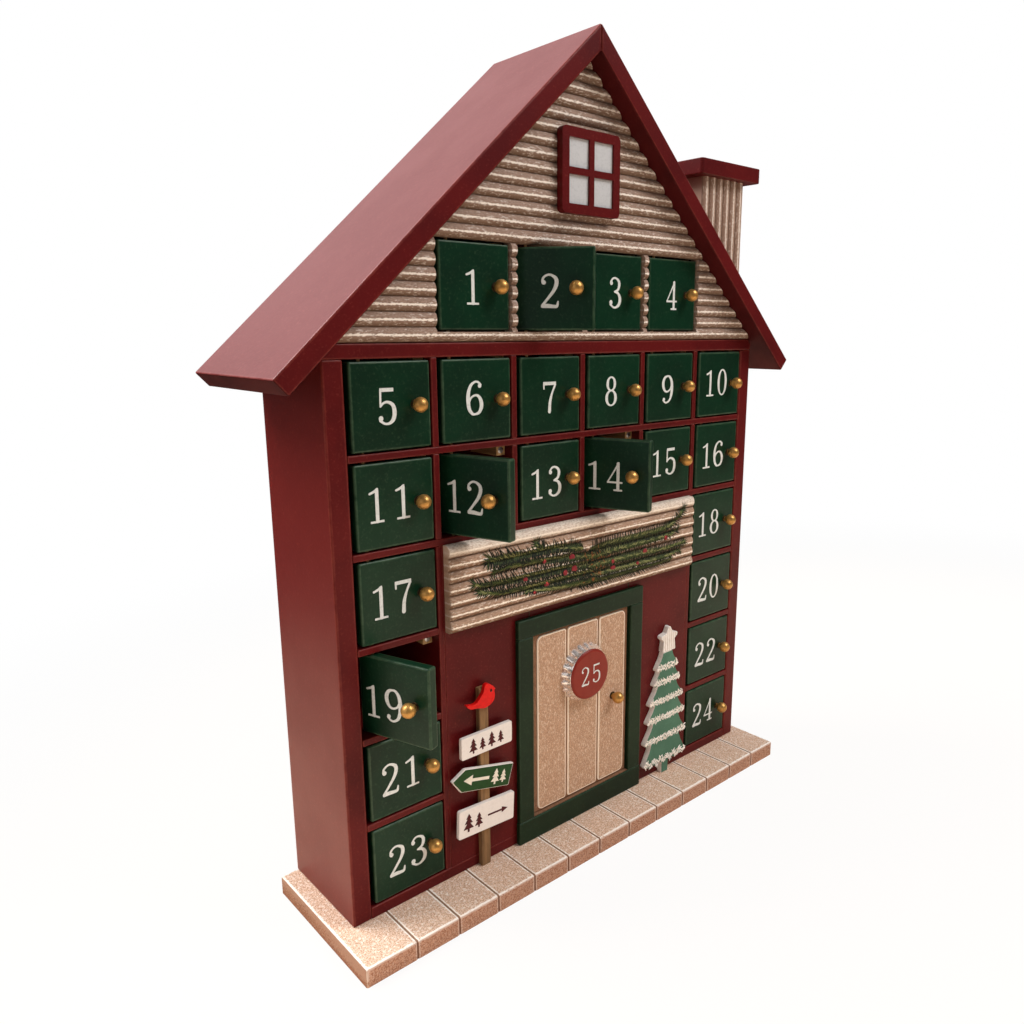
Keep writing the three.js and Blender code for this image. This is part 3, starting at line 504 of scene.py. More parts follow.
def add_box(bm, low, high):
    size = [h - l for l, h in zip(low, high)]
    middle = [(l + h) / 2 for l, h in zip(low, high)]
    matrix = Matrix.Translation(middle) @ Matrix.Diagonal((*size, 1))
    bmesh.ops.create_cube(bm, size=1, matrix=matrix)


def board(name, boxes, material, radius=0.4, loop=0.5, body="house", replaces=(), turn=None):
    """One or more boxes with rounded edges as one piece."""
    bm = bmesh.new()
    for low, high in boxes:
        add_box(bm, low, high)
    soften(bm, radius, loop)
    return finish_mesh(name, bm, [material], body, replaces, turn=turn)


def thicken(bm, faces, depth):
    """Extrudes the faces to the back."""
    moved = bmesh.ops.extrude_face_region(bm, geom=faces)["geom"]
    verts = [v for v in moved if isinstance(v, bmesh.types.BMVert)]
    bmesh.ops.translate(bm, vec=(0, depth, 0), verts=verts)


def prism(bm, outline, y0, y1):
    """Adds a flat outline of X and Z points, given thickness from y0 to y1."""
    thicken(bm, [bm.faces.new([bm.verts.new((x, y0, z)) for x, z in outline])], y1 - y0)


def cutout(name, outline, y0, y1, material, radius=0.4, loop=0.5, body="house", replaces=(), turn=None,
           sharp=40, sides=None):
    """A flat shape with rounded edges; sides is the paint of its cut edge, where that differs."""
    bm = bmesh.new()
    prism(bm, outline, y0, y1)
    soften(bm, radius, loop)
    if sides:
        for face in bm.faces:
            face.material_index = 1 if face.normal.y > -0.45 else 0
    return finish_mesh(name, bm, [material, sides] if sides else [material], body, replaces, sharp, turn)


def bridge(bm, rings):
    """Joins each closed row of points to the next and returns the faces."""
    faces = []
    for a, b in zip(rings, rings[1:]):
        for i in range(len(a)):
            j = (i + 1) % len(a)
            faces.append(bm.faces.new((a[i], a[j], b[j], b[i])))
    return faces


def cut(bm, point, normal, clear=True):
    """Cuts all through the point, and clears what lies beyond it along the normal."""
    bmesh.ops.bisect_plane(bm, geom=[*bm.verts, *bm.edges, *bm.faces], plane_co=point, plane_no=normal,
                           clear_outer=clear)


def with_mirror(right, middle=0):
    """An outline from its right half, which starts on the middle line."""
    return [*[(2 * middle - x, z) for x, z in reversed(right[1:])], *right]


def plate(name, corner_box, radii, y0, y1, radius, material, body="house", turn=None):
    """A rectangle with its own four corner radii and a rounded front edge, pale along the rim."""
    x0, x1, z0, z1 = corner_box
    bm = bmesh.new()
    edge = bm.verts.layers.float.new("edge")
    levels = [(0.0, y1, 1.0)]
    for i in range(5):
        angle = math.pi / 2 * i / 4
        levels.append((radius * (1 - math.cos(angle)), y0 + radius * (1 - math.sin(angle)), 1.0))
    levels += [(radius + 0.15, y0, 0.9), (radius + 0.45, y0, 0.1), (radius + 0.8, y0, 0.0)]
    rings = []
    for inset, y, worn in levels:
        inner = [max(r - inset, 0.05) for r in radii]
        points = rounded_outline(x0 + inset, x1 - inset, z0 + inset, z1 - inset, inner)
        ring_verts = []
        for x, z in points:
            vert = bm.verts.new((x, y, z))
            vert[edge] = worn
            ring_verts.append(vert)
        rings.append(ring_verts)
    bridge(bm, rings)
    bm.faces.new(rings[-1])
    bm.faces.new(rings[0])
    face_out(bm)
    return finish_mesh(name, bm, [material], body, turn=turn)


def rounded_outline(x0, x1, z0, z1, radii, steps=6):
    """A rectangle's outline with its own radius at lower left, lower right, upper right, upper left."""
    points = []
    for i, (x, z) in enumerate([(x0, z0), (x1, z0), (x1, z1), (x0, z1)]):
        r = radii[i]
        start = math.pi + i * math.pi / 2
        cx = x + (r if x == x0 else -r)
        cz = z + (r if z == z0 else -r)
        for k in range(steps + 1 if r else 1):
            angle = start + k / steps * math.pi / 2
            points.append((cx + r * math.cos(angle), cz + r * math.sin(angle)))
    return points


def smooth_path(points, steps=8):
    """A soft curve through the given points, which may have any number of values each."""
    data = [np.array(p, float) for p in points]
    data = [2 * data[0] - data[1], *data, 2 * data[-1] - data[-2]]
    path = []
    for a, b, c, d in zip(data, data[1:], data[2:], data[3:]):
        for i in range(steps):
            t = i / steps
            path.append(0.5 * (2 * b + (c - a) * t + (2 * a - 5 * b + 4 * c - d) * t * t
                               + (3 * b - a - 3 * c + d) * t ** 3))
    path.append(data[-2])
    return path


def lathe(bm, profile, segments, matrix):
    """Turns a profile of (radius, y) points about the Y axis; ends on the axis close it."""
    rings = []
    for radius, y in profile:
        if radius == 0:
            rings.append([bm.verts.new(matrix @ Vector((0, y, 0)))])
        else:
            angles = [2 * math.pi * i / segments for i in range(segments)]
            rings.append([bm.verts.new(matrix @ Vector((radius * math.cos(a), y, radius * math.sin(a))))
                          for a in angles])
    for a, b in zip(rings, rings[1:]):
        for i in range(segments):
            j = (i + 1) % segments
            quad = [a[i % len(a)], a[j % len(a)], b[j % len(b)], b[i % len(b)]]
            bm.faces.new(list(dict.fromkeys(quad)))
    face_out(bm)


# Numbers: strokes as (x, z, half width) points and bars, in a 15 mm high numeral


def ring(rx, rz, cz, thin, thick):
    points = []
    for i in range(25):
        angle = 2 * math.pi * i / 24
        half = thin + (thick - thin) * math.cos(angle) ** 2
        points.append(((rx - half) * math.cos(angle), cz + (rz - half) * math.sin(angle), half))
    return points


SIX = [
    [(2.75, 12.75, 1.0)],
    [(3.2, 13.2, 0.6), (1.9, 14.35, 0.5), (0.2, 14.5, 0.5), (-2.0, 13.1, 0.7), (-3.35, 10.0, 0.95),
     (-3.6, 6.4, 1.05), (-3.1, 3.0, 0.95), (-1.6, 0.9, 0.7), (0.1, 0.5, 0.5), (2.2, 1.2, 0.75),
     (3.5, 3.4, 1.0), (3.4, 6.0, 1.0), (2.1, 8.2, 0.7), (0.3, 8.75, 0.5), (-1.9, 7.8, 0.5),
     (-3.2, 5.8, 0.6)],
]
STROKES = {
    "0": [ring(4.3, 7.5, 7.5, 0.45, 1.0)],
    "1": [[(0.35, 0.7, 0.85), (0.35, 13.6, 0.85)], [(0.7, 14.2, 0.4), (-0.9, 13.1, 0.55), (-2.9, 12.4, 0.5)]],
    "2": [[(-2.75, 11.3, 1.05)], [(-3.3, 11.6, 0.6), (-3.0, 13.2, 0.55), (-1.3, 14.45, 0.5),
          (0.6, 14.45, 0.55), (2.7, 13.0, 0.85), (3.0, 10.6, 0.95), (1.7, 7.6, 0.8), (-0.8, 4.4, 0.65),
          (-3.4, 1.3, 0.6)],
          [(-3.3, 0.95, 0.8), (-1.0, 1.1, 0.95), (1.6, 0.85, 0.8), (3.2, 1.0, 0.7), (3.75, 3.0, 0.35)]],
    "3": [[(-2.6, 12.1, 1.05)], [(-3.1, 12.6, 0.55), (-1.7, 14.2, 0.5), (0.2, 14.5, 0.5), (2.4, 13.3, 0.75),
          (2.9, 11.2, 0.9), (2.0, 9.0, 0.7), (-0.3, 8.0, 0.45)],
          [(-0.3, 8.0, 0.45), (2.2, 7.2, 0.7), (3.5, 4.9, 1.0), (3.0, 2.2, 0.95), (1.0, 0.65, 0.6),
           (-1.2, 0.6, 0.5), (-3.2, 2.0, 0.6)], [(-2.8, 2.9, 1.15)]],
    "4": [[(1.9, 14.3, 0.5), (-0.6, 9.9, 0.45), (-3.9, 4.4, 0.4)], [(1.6, 0.7, 0.85), (1.6, 13.9, 0.85)]],
    "5": [[(-2.7, 13.9, 0.5), (-2.9, 7.6, 0.45)], [(-2.9, 7.6, 0.45), (-1.4, 8.9, 0.5), (0.6, 9.2, 0.6),
          (2.8, 7.9, 0.85), (3.5, 5.2, 1.0), (2.9, 2.3, 0.95), (1.1, 0.7, 0.6), (-1.1, 0.6, 0.5),
          (-3.2, 1.9, 0.6)], [(-2.85, 2.75, 1.1)]],
    "6": SIX,
    "7": [[(-3.6, 13.9, 0.5), (-3.55, 11.7, 0.4)], [(3.5, 13.4, 0.6), (1.7, 9.8, 0.6), (0.3, 5.6, 0.85),
          (-0.1, 1.0, 1.0)]],
    "8": [ring(3.5, 3.75, 11.2, 0.45, 0.9), ring(4.2, 4.15, 4.15, 0.45, 1.0)],
    "9": [[(-x, 15 - z, half) for x, z, half in stroke] for stroke in SIX],
}
BARS = {
    "1": [(-2.9, 3.4, 0, 0.95)],
    "4": [(-4.2, 4.0, 3.9, 4.85), (-0.7, 3.9, 0, 0.9)],
    "5": [(-3.1, 3.3, 13.3, 14.9)],
    "7": [(-4.0, 4.0, 13.25, 14.9)],
}


def field(digit, xs, zs, weight):
    """How deep each grid point lies inside the numeral; negative outside."""
    grid_x, grid_z = np.meshgrid(xs, zs, indexing="ij")
    depth = np.full(grid_x.shape, -9.0)
    for stroke in STROKES[digit]:
        path = smooth_path(stroke, 10) if len(stroke) > 2 else [np.array(p, float) for p in stroke]
        if len(stroke) == 2:
            path = [path[0] + (path[1] - path[0]) * i / 60 for i in range(61)]
        for x, z, half in path:
            depth = np.maximum(depth, half * weight - np.hypot(grid_x - x, grid_z - z))
    for x0, x1, z0, z1 in BARS.get(digit, ()):
        inside_x = (x1 - x0) / 2 - np.abs(grid_x - (x0 + x1) / 2)
        inside_z = (z1 - z0) / 2 * weight - np.abs(grid_z - (z0 + z1) / 2)
        depth = np.maximum(depth, np.minimum(inside_x, inside_z))
    return depth


def contours(depth, xs, zs):
    """The closed outlines on which the depth is zero."""
    links = {}
    spots = {}

    def cross(i0, j0, i1, j1):
        key = (i0, j0, i1, j1)
        if key not in spots:
            a, b = depth[i0, j0], depth[i1, j1]
            t = a / (a - b)
            spots[key] = (xs[i0] + (xs[i1] - xs[i0]) * t, zs[j0] + (zs[j1] - zs[j0]) * t)
        return key

    inside = depth > 0
    mixed = inside[:-1, :-1].astype(int) + inside[1:, :-1] + inside[1:, 1:] + inside[:-1, 1:]
    for i, j in zip(*np.nonzero((mixed > 0) & (mixed < 4))):
        sides = [(i, j, i + 1, j), (i + 1, j, i + 1, j + 1), (i, j + 1, i + 1, j + 1), (i, j, i, j + 1)]
        hits = [cross(*s) for s in sides if inside[s[0], s[1]] != inside[s[2], s[3]]]
        for a, b in zip(hits[::2], hits[1::2]):
            links.setdefault(a, []).append(b)
            links.setdefault(b, []).append(a)
    loops = []
    while links:
        start = next(iter(links))
        loop = [start]
        spot = start
        while links.get(spot):
            follow = links[spot].pop()
            links[follow].remove(spot)
            if not links[spot]:
                del links[spot]
            spot = follow
            loop.append(spot)
        links.pop(spot, None)
        loops.append([spots[k] for k in loop[:-1]])
    return loops


def thin_out(loop, slack):
    """Leaves out the points of a closed outline that lie within slack of a straight run."""
    points = [np.array(p) for p in loop]

    def run(a, b):
        if b - a < 2:
            return []
        way = points[b % len(points)] - points[a]
        length = np.hypot(*way) or 1e-9
        off = [abs(way[0] * (points[k] - points[a])[1] - way[1] * (points[k] - points[a])[0]) / length
               for k in range(a + 1, b)]
        worst = int(np.argmax(off))
        if off[worst] < slack:
            return []
        k = a + 1 + worst
        return [*run(a, k), k, *run(k, b)]

    half = len(points) // 2
    kept = [0, *run(0, half), half, *run(half, len(points))]
    return [tuple(points[k]) for k in kept]


def numeral(digit, weight=1.0):
    """The numeral's outlines, worked out once for each weight."""
    key = (digit, weight)
    if key not in numeral.made:
        xs = np.arange(-5, 5.01, 0.12)
        zs = np.arange(-0.6, 15.61, 0.12)
        loops = contours(field(digit, xs, zs, weight), xs, zs)
        numeral.made[key] = [thin_out(loop, 0.02) for loop in loops if len(loop) > 8]
    return numeral.made[key]


numeral.made = {}


def print_flat(name, loops, matrix, material, body="house"):
    """A thin printed shape: closed outlines of X and Z, holes included, standing proud of y = 0."""
    curve = bpy.data.curves.new(name, "CURVE")
    curve.dimensions = "2D"
    curve.fill_mode = "BOTH"
    curve.extrude = PRINT_THICK / 2
    for loop in loops:
        spline = curve.splines.new("POLY")
        spline.points.add(len(loop) - 1)
        spline.use_cyclic_u = True
        for point, (x, z) in zip(spline.points, loop):
            point.co = (x, z, 0, 1)
    holder = add_object(name, curve)
    mesh = bpy.data.meshes.new_from_object(holder.evaluated_get(bpy.context.evaluated_depsgraph_get()))
    bpy.data.objects.remove(holder)
    bpy.data.curves.remove(curve)
    mesh.name = name
    stand = shift(0, -PRINT_THICK / 2, 0) @ Matrix.Rotation(math.pi / 2, 4, "X")
    mesh.transform(Matrix.Scale(MM, 4) @ matrix @ stand)
    mesh.materials.clear()
    mesh.materials.append(material)
    piece = add_object(name, mesh)
    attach(piece, body)
    return piece


# Places taken from the solids


deck = corners("base_plinth")[1].z
left_low, left_high = corners("left_wall")
right_low, right_high = corners("right_wall")
front = left_low.y
board_back = corners("back_panel")[0].y
wall_top = left_high.z
bay_base = corners("bottom_board")[1].z
inner_left = left_high.x
inner_right = right_low.x
cell_width = (inner_right - inner_left - (COLUMNS - 1) * DIVIDER) / COLUMNS
attic_base = corners("attic_floor")[1].z
siding_low, siding_high = corners("gable_siding")
siding_front = siding_low.y
panel_low, panel_high = corners("front_panel")


def cell_left(column):
    return inner_left + column * (cell_width + DIVIDER)


def row_floor(row):
    return bay_base + row * (CELL_HEIGHT + SHELF)


HINGES = {joint["child"]: Vector(joint["pos_m"]) / MM for joint in frame["joints"]}


def door_matrix(number):
    """From a door's own place, with its pivot at the origin, to where it stands at rest."""
    turn = Matrix.Rotation(-math.radians(REST_ANGLE.get(number, 0)), 4, "Z")
    return Matrix.Translation(HINGES[f"door_{number:02d}"]) @ turn


def make_carcass():
    for name, box in (("left", (left_low, left_high)), ("right", (right_low, right_high))):
        # Painted light: the walls' sides take the lighter copy of the red paint, their front edges the plain
        # red.
        side = board(f"side_{name}", [box], RED_WALL_PAINTED_LIGHT, 0.8, 1.0, replaces=[f"{name}_wall"])
        repaint(side, RED, lambda face: face.normal.y < -0.5)
    board("bottom", [corners("bottom_board")], RED, 0.5, 0.6, replaces=["bottom_board"])
    xs = [cell_left(c) for c in range(COLUMNS)]
    upper = row_floor(ROWS - 1)
    middle = row_floor(ROWS - 2)
    for name, top in (("upper_shelf", upper), ("middle_shelf", middle)):
        box = ((inner_left, front, top - SHELF), (inner_right, board_back, top))
        board(f"{name}_board", [box], RED, 0.45, 0.5, replaces=[name])

    def divider(x):
        return [((x - DIVIDER, front, middle), (x, board_back, upper - SHELF)),
                ((x - DIVIDER, front, upper), (x, board_back, wall_top))]

    for i, x in enumerate(xs[2:5]):
        board(f"upright_{i + 1}", divider(x), RED, 0.45, 0.5, replaces=[f"upper_divider_{i + 1}"])
    for name, column, x in (("left_column", 0, xs[1]), ("right_column", COLUMNS - 1, xs[5])):
        pieces = [((x - DIVIDER, front, bay_base), (x, board_back, middle - SHELF)), *divider(x)]
        for row in range(1, ROWS - 2):
            top = row_floor(row)
            pieces.append(((xs[column], front, top - SHELF), (xs[column] + cell_width, board_back, top)))
        board(f"{name}_boards", pieces, RED, 0.45, 0.5, replaces=[name])
    make_gable_boards(right_high.x, math.tan(ROOF_SLOPE))


def make_gable_boards(half, slope):
    """The attic floor, whose ends follow the roof, and the back."""
    seat = wall_top + ATTIC_SEAT
    inset = (attic_base - seat) / slope
    outline = [(-half, wall_top), (half, wall_top), (half, seat), (half - inset, attic_base),
               (inset - half, attic_base), (-half, seat)]
    cutout("attic_floor_board", outline, front, board_back, RED, 0.6, 0.8, replaces=["attic_floor"])
    low, high = corners("back_panel")
    shoulder = high.z - half * slope
    outline = [(inner_left, deck), (inner_right, deck), (inner_right, wall_top), (half, wall_top),
               (half, shoulder), (0, high.z), (-half, shoulder), (-half, wall_top), (inner_left, wall_top)]
    cutout("back_board", outline, low.y, high.y, RED, 0.4, 0.8, replaces=["back_panel"])


def compartments():
    """The number, left edge, floor, height and door front of every small compartment."""
    attic = HINGES["door_01"].z
    cells = [(1 + i, cell_left(1 + i), attic, ATTIC_DOOR_HEIGHT, siding_front + ATTIC_SETBACK)
             for i in range(4)]

    def add_cell(number, column, row):
        cells.append((number, cell_left(column), row_floor(row), CELL_HEIGHT, front + DOOR_SETBACK))

    for column in range(COLUMNS):
        add_cell(5 + column, column, ROWS - 1)
        add_cell(11 + column, column, ROWS - 2)
    for row in range(ROWS - 2):
        number = 17 + 2 * (ROWS - 3 - row)
        add_cell(number, 0, row)
        add_cell(number + 1, COLUMNS - 1, row)
    return cells


def make_catches():
    blocks = []
    screws = bmesh.new()
    for _, left, floor, tall, door_front in compartments():
        x1 = left + cell_width - CATCH_GAP
        y0 = door_front + DOOR_THICK + CATCH_GAP
        top = floor + tall
        blocks.append(((x1 - CATCH_SIZE, y0, top - CATCH_SIZE), (x1, y0 + CATCH_LENGTH, top)))
        add_screw(screws, Vector((x1 - CATCH_SIZE / 2, y0, top - CATCH_SIZE / 2)), 1.6)
    board("catch_blocks", blocks, BLOCK_WOOD, 0.25, 0.4)
    finish_mesh("catch_screws", screws, [STEEL])


def add_screw(bm, centre, radius):
    """A sunk head with a cross, facing the front."""
    place = Matrix.Translation(centre)
    profile = [(0, -0.14), (radius * 0.5, -0.13), (radius * 0.85, -0.08), (radius, 0.02), (radius, 0.3),
               (0, 0.3)]
    lathe(bm, profile, 16, place)
    for turn in (0, math.pi / 2):
        slot = Matrix.Diagonal((radius * 1.25, 0.06, 0.36, 1)) @ shift(0, -2.4, 0)
        bmesh.ops.create_cube(bm, size=1, matrix=place @ Matrix.Rotation(turn + 0.5, 4, "Y") @ slot)


def make_doors():
    for number, _, _, tall, _ in compartments():
        name = f"{number:02d}"
        body = f"door_{name}"
        place = door_matrix(number)
        half = DOOR_THICK / 2
        low = (GAP_LEFT - PIVOT_IN, -half, GAP_BOTTOM)
        high = (cell_width - GAP_RIGHT - PIVOT_IN, half, tall - GAP_TOP)
        board(f"door_panel_{name}", [(low, high)], GREEN, DOOR_EDGE, 0.9, body, [body], place)
        knob_x = cell_width - KNOB_IN - PIVOT_IN
        add_knob(name, place @ shift(knob_x, -half, tall / 2), body)
        add_pins(name, place, tall, body)
        add_number(name, str(number), place, tall, body)


def add_knob(name, place, body):
    """A ball on a short neck, with a dark collar round its foot: a metal ring whose dark colour is also
    painted shade at the knob's foot.
    """
    bm = bmesh.new()
    start = math.asin(KNOB_NECK / KNOB_RADIUS)
    profile = [(0, 0.4), (KNOB_NECK, 0.4), (KNOB_NECK, -0.6)]
    for i in range(17):
        angle = start + (math.pi - start) * i / 16
        profile.append((KNOB_RADIUS * math.sin(angle) if i < 16 else 0,
                        -KNOB_STAND + KNOB_RADIUS * math.cos(angle)))
    lathe(bm, profile, 32, place)
    finish_mesh(f"knob_{name}", bm, [BRASS], body)
    bm = bmesh.new()
    inner = KNOB_NECK - 0.1
    lathe(bm, [(inner, 0.3), (2.1, 0.3), (2.1, -0.15), (1.9, -0.4), (inner, -0.5), (inner, 0.3)], 24, place)
    finish_mesh(f"knob_collar_{name}", bm, [COLLAR_AND_PAINTED_SHADE], body)


def add_pins(name, place, tall, body):
    bm = bmesh.new()
    upright = Matrix.Rotation(math.pi / 2, 4, "X")
    for z, gap in ((-PIN_REACH, GAP_BOTTOM), (tall - GAP_TOP - PIN_INSIDE, GAP_TOP)):
        long = PIN_REACH + gap + PIN_INSIDE
        profile = [(0, 0), (0.62, 0), (0.72, 0.12), (0.72, long - 0.12), (0.62, long), (0, long)]
        lathe(bm, profile, 14, place @ shift(0, 0, z) @ upright)
    finish_mesh(f"pins_{name}", bm, [PIN_WOOD], body)


def add_number(name, text, place, tall, body, weight=0.94):
    step = DIGIT_STEP + (1.2 if text == "11" else 0)
    middle = DIGIT_CENTRES[len(text) - 1] + NUMBER_SHIFT.get(int(text), 0)
    x = middle - PIVOT_IN - step * (len(text) - 1) / 2
    z = tall / 2 - DIGIT_DROP + NUMBER_RISE.get(int(text), 0) - DIGIT_HEIGHT / 2
    loops = []
    for digit in text:
        loops += [[(x + px, z + pz) for px, pz in loop] for loop in numeral(digit, weight)]
        x += step
    matrix = place @ shift(0, -DOOR_THICK / 2 + PRINT_SUNK, 0)
    print_flat(f"number_{name}", loops, matrix, NUMBER, body)


def make_front_panel():
    """The board round the large door, its green frame, and the catch and threshold of that door."""
    head = corners("door_head")[0].z
    sill = corners("door_sill")[1].z
    left = corners("left_jamb")[1].x
    right = corners("right_jamb")[0].x
    behind = front + PANEL_THICK
    boxes = [
        ((panel_low.x, front, bay_base), (left, behind, panel_high.z)),
        ((right, front, bay_base), (panel_high.x, behind, panel_high.z)),
        ((left, front, head), (right, behind, panel_high.z)),
        ((left, front, bay_base), (right, behind, sill)),
    ]
    piece = board("front_board", boxes, RED, 0.15, 0.4, replaces=["front_panel"])

    def in_doorway(face):
        x, _, z = face.center / MM
        return abs(x) < right + 0.4 and sill - 0.4 < z < head + 0.4

    repaint(piece, GREEN_TRIM, in_doorway)
    for node in ("left_jamb", "right_jamb", "door_head", "door_sill"):
        board(f"{node}_board", [corners(node)], GREEN_TRIM, 0.6, 0.7, replaces=[node])
    top = head - CATCH_DROP
    near = behind + CATCH_GAP
    block = ((right - CATCH_LAP, near, top - CATCH_SIZE), (right + CATCH_LAP, near + CATCH_SIZE, top))
    board("large_catch", [block], BLOCK_WOOD, 0.25, 0.4)
    strip = ((left, front - 2.4, sill), (right, front + 1.2, sill + 0.3))
    board("threshold", [strip], PLANK_BACK, 0.1, 0.2)


def make_large_door():
    body = "door_25"
    place = door_matrix(25)
    pivot = HINGES[body]
    high = corners("door_25")[1]
    half = LEAF_THICK / 2
    face = -half - PLANK_PROUD
    x0 = LEAF_GAP_LEFT - PIVOT_IN
    x1 = high.x - pivot.x
    z0 = GAP_BOTTOM
    z1 = high.z - pivot.z - PIN_REACH - GAP_TOP
    board("leaf_backing", [((x0, -half, z0), (x1, half, z1))], PLANK_BACK, 0.4, 0.6, body, [body], place)
    third = (x1 - x0) / 3
    for i in range(3):
        a = x0 + (i * third + PLANK_GAP / 2 if i else PLANK_SIDE)
        b = x1 - ((2 - i) * third + PLANK_GAP / 2 if i < 2 else PLANK_SIDE)
        left = PLANK_CORNERS[0] if i == 0 else PLANK_CORNERS[1]
        right = PLANK_CORNERS[0] if i == 2 else PLANK_CORNERS[1]
        box = (a, b, z0 + PLANK_END, z1 - PLANK_END)
        plate(f"leaf_plank_{i + 1}", box, (left, right, right, left), face, 0, 0.45, PLANK, body, place)
    tall = z1 + GAP_TOP
    add_knob("25", place @ shift(x1 - LEAF_KNOB_IN, face, tall / 2), body)
    add_pins("25", place, tall, body)
    cap_place = place @ shift((x0 + x1) / 2, face, z1 - CAP_DROP)
    make_crown_cap(cap_place, body)


def make_crown_cap(place, body):
    """A bottle's cap: levels of depth, radius and how far the teeth show there."""
    levels = [
        (0.0, 15.3, 0.9), (0.0, 15.95, 1.0), (-0.35, 15.95, 1.0), (-1.3, 15.35, 0.85), (-2.4, 14.65, 0.55),
        (-3.4, 14.1, 0.25), (-4.3, 13.75, 0.05), (-5.0, 13.5, 0), (-5.5, 13.15, 0), (-5.85, 12.6, 0),
        (-6.0, 11.9, 0), (-CAP_TALL, 8.0, 0),
    ]
    around = CAP_TEETH * 10
    bm = bmesh.new()
    rings = []
    for y, radius, wave in levels:
        points = []
        for i in range(around):
            angle = 2 * math.pi * i / around
            lobe = abs(math.cos(CAP_TEETH * angle / 2))
            r = radius - CAP_TOOTH_DEPTH * wave * (1 - lobe ** 0.8)
            points.append(bm.verts.new(place @ Vector((r * math.cos(angle), y, r * math.sin(angle)))))
        rings.append(points)
    for face in bridge(bm, rings)[CAP_SKIRT_LEVELS * around:]:
        face.material_index = 1
    top = bm.verts.new(place @ Vector((0, -CAP_TALL, 0)))
    foot = bm.verts.new(place @ Vector((0, 0, 0)))
    for i in range(around):
        j = (i + 1) % around
        bm.faces.new((rings[-1][i], rings[-1][j], top)).material_index = 1
        bm.faces.new((rings[0][j], rings[0][i], foot))
    face_out(bm)
    finish_mesh("crown_cap", bm, [TINPLATE, CAP_RED], body, ["bottle_cap"], 60)
    loops = []
    for digit, x in (("2", -4.1), ("5", 3.9)):
        for loop in numeral(digit, 0.75):
            loops.append([(x + px * CAP_DIGIT_SCALE * 0.95, (pz - 7.7) * CAP_DIGIT_SCALE) for px, pz in loop])
    print_flat("number_25", loops, place @ shift(0, PRINT_SUNK - CAP_TALL, 0), NUMBER, body)


def rib_rise(share, pitch, depth):
    """How far up its depth a round rib stands, at a share of the way across it."""
    radius = (pitch * pitch / 4 + depth * depth) / (2 * depth)
    across = (share - 0.5) * pitch
    return (math.sqrt(radius * radius - across * across) - (radius - depth)) / depth


def wobble(x, z, rib):
    """How far the brush or saw has left a rib uneven."""
    long_wave = noise.noise(Vector((x * 0.09, rib * 7.3, 0)))
    short_wave = noise.noise(Vector((x * 0.6, z * 0.6, 3)))
    return 0.14 * long_wave + 0.05 * short_wave


def ribbed_sheet(name, xs, z0, pitch, depth, count, valley_y, back_y, holes, slopes, node, material=SIDING,
                 ends=0.0):
    """A board with round ribs along X, open at the holes and cut along the slopes."""
    levels = {}
    for rib in range(count):
        for k in range(8):
            levels[round(z0 + (rib + k / 8) * pitch, 4)] = rib_rise(k / 8, pitch, depth)
    levels[round(z0 + count * pitch, 4)] = 0.0
    for _, _, low, high in holes:
        for z in (low, high):
            levels[round(z, 4)] = rib_rise(((z - z0) / pitch) % 1, pitch, depth)
    zs = sorted(levels)
    bm = bmesh.new()
    grid = []
    for x in xs:
        column = []
        for z in zs:
            rise = levels[z]
            rib = int((z - z0) / pitch + 0.001)
            fade = 1.0
            if ends:
                near = min(x - xs[0], xs[-1] - x)
                fade = math.sqrt(max(0.0, 1 - max(0.0, 1 - near / ends) ** 2))
            y = valley_y - depth * (rise * fade) - wobble(x, z, rib) * rise
            column.append(bm.verts.new((x, y, z)))
        grid.append(column)
    for i in range(len(xs) - 1):
        for j in range(len(zs) - 1):
            mx, mz = (xs[i] + xs[i + 1]) / 2, (zs[j] + zs[j + 1]) / 2
            if any(a < mx < b and c < mz < d for a, b, c, d in holes):
                continue
            bm.faces.new((grid[i][j], grid[i + 1][j], grid[i + 1][j + 1], grid[i][j + 1]))
    bmesh.ops.delete(bm, geom=[v for v in bm.verts if not v.link_faces], context="VERTS")
    for point, normal in slopes:
        cut(bm, point, normal)
    rim = [e for e in bm.edges if e.is_boundary]
    made = bmesh.ops.extrude_edge_only(bm, edges=rim)["geom"]
    for vert in made:
        if isinstance(vert, bmesh.types.BMVert):
            vert.co.y = back_y
    rear = [e for e in bm.edges if e.is_boundary]
    bmesh.ops.triangle_fill(bm, use_beauty=True, edges=rear, normal=(0, 1, 0))
    face_out(bm)
    return finish_mesh(name, bm, [material], "house", [node], 45)


def spaced(low, high, step, extra=()):
    count = max(1, round((high - low) / step))
    values = {round(low + (high - low) * i / count, 4) for i in range(count + 1)}
    values = {v for v in values if all(abs(v - e) > step * 0.4 for e in extra)}
    return sorted(values | {round(e, 4) for e in extra} | {round(low, 4), round(high, 4)})


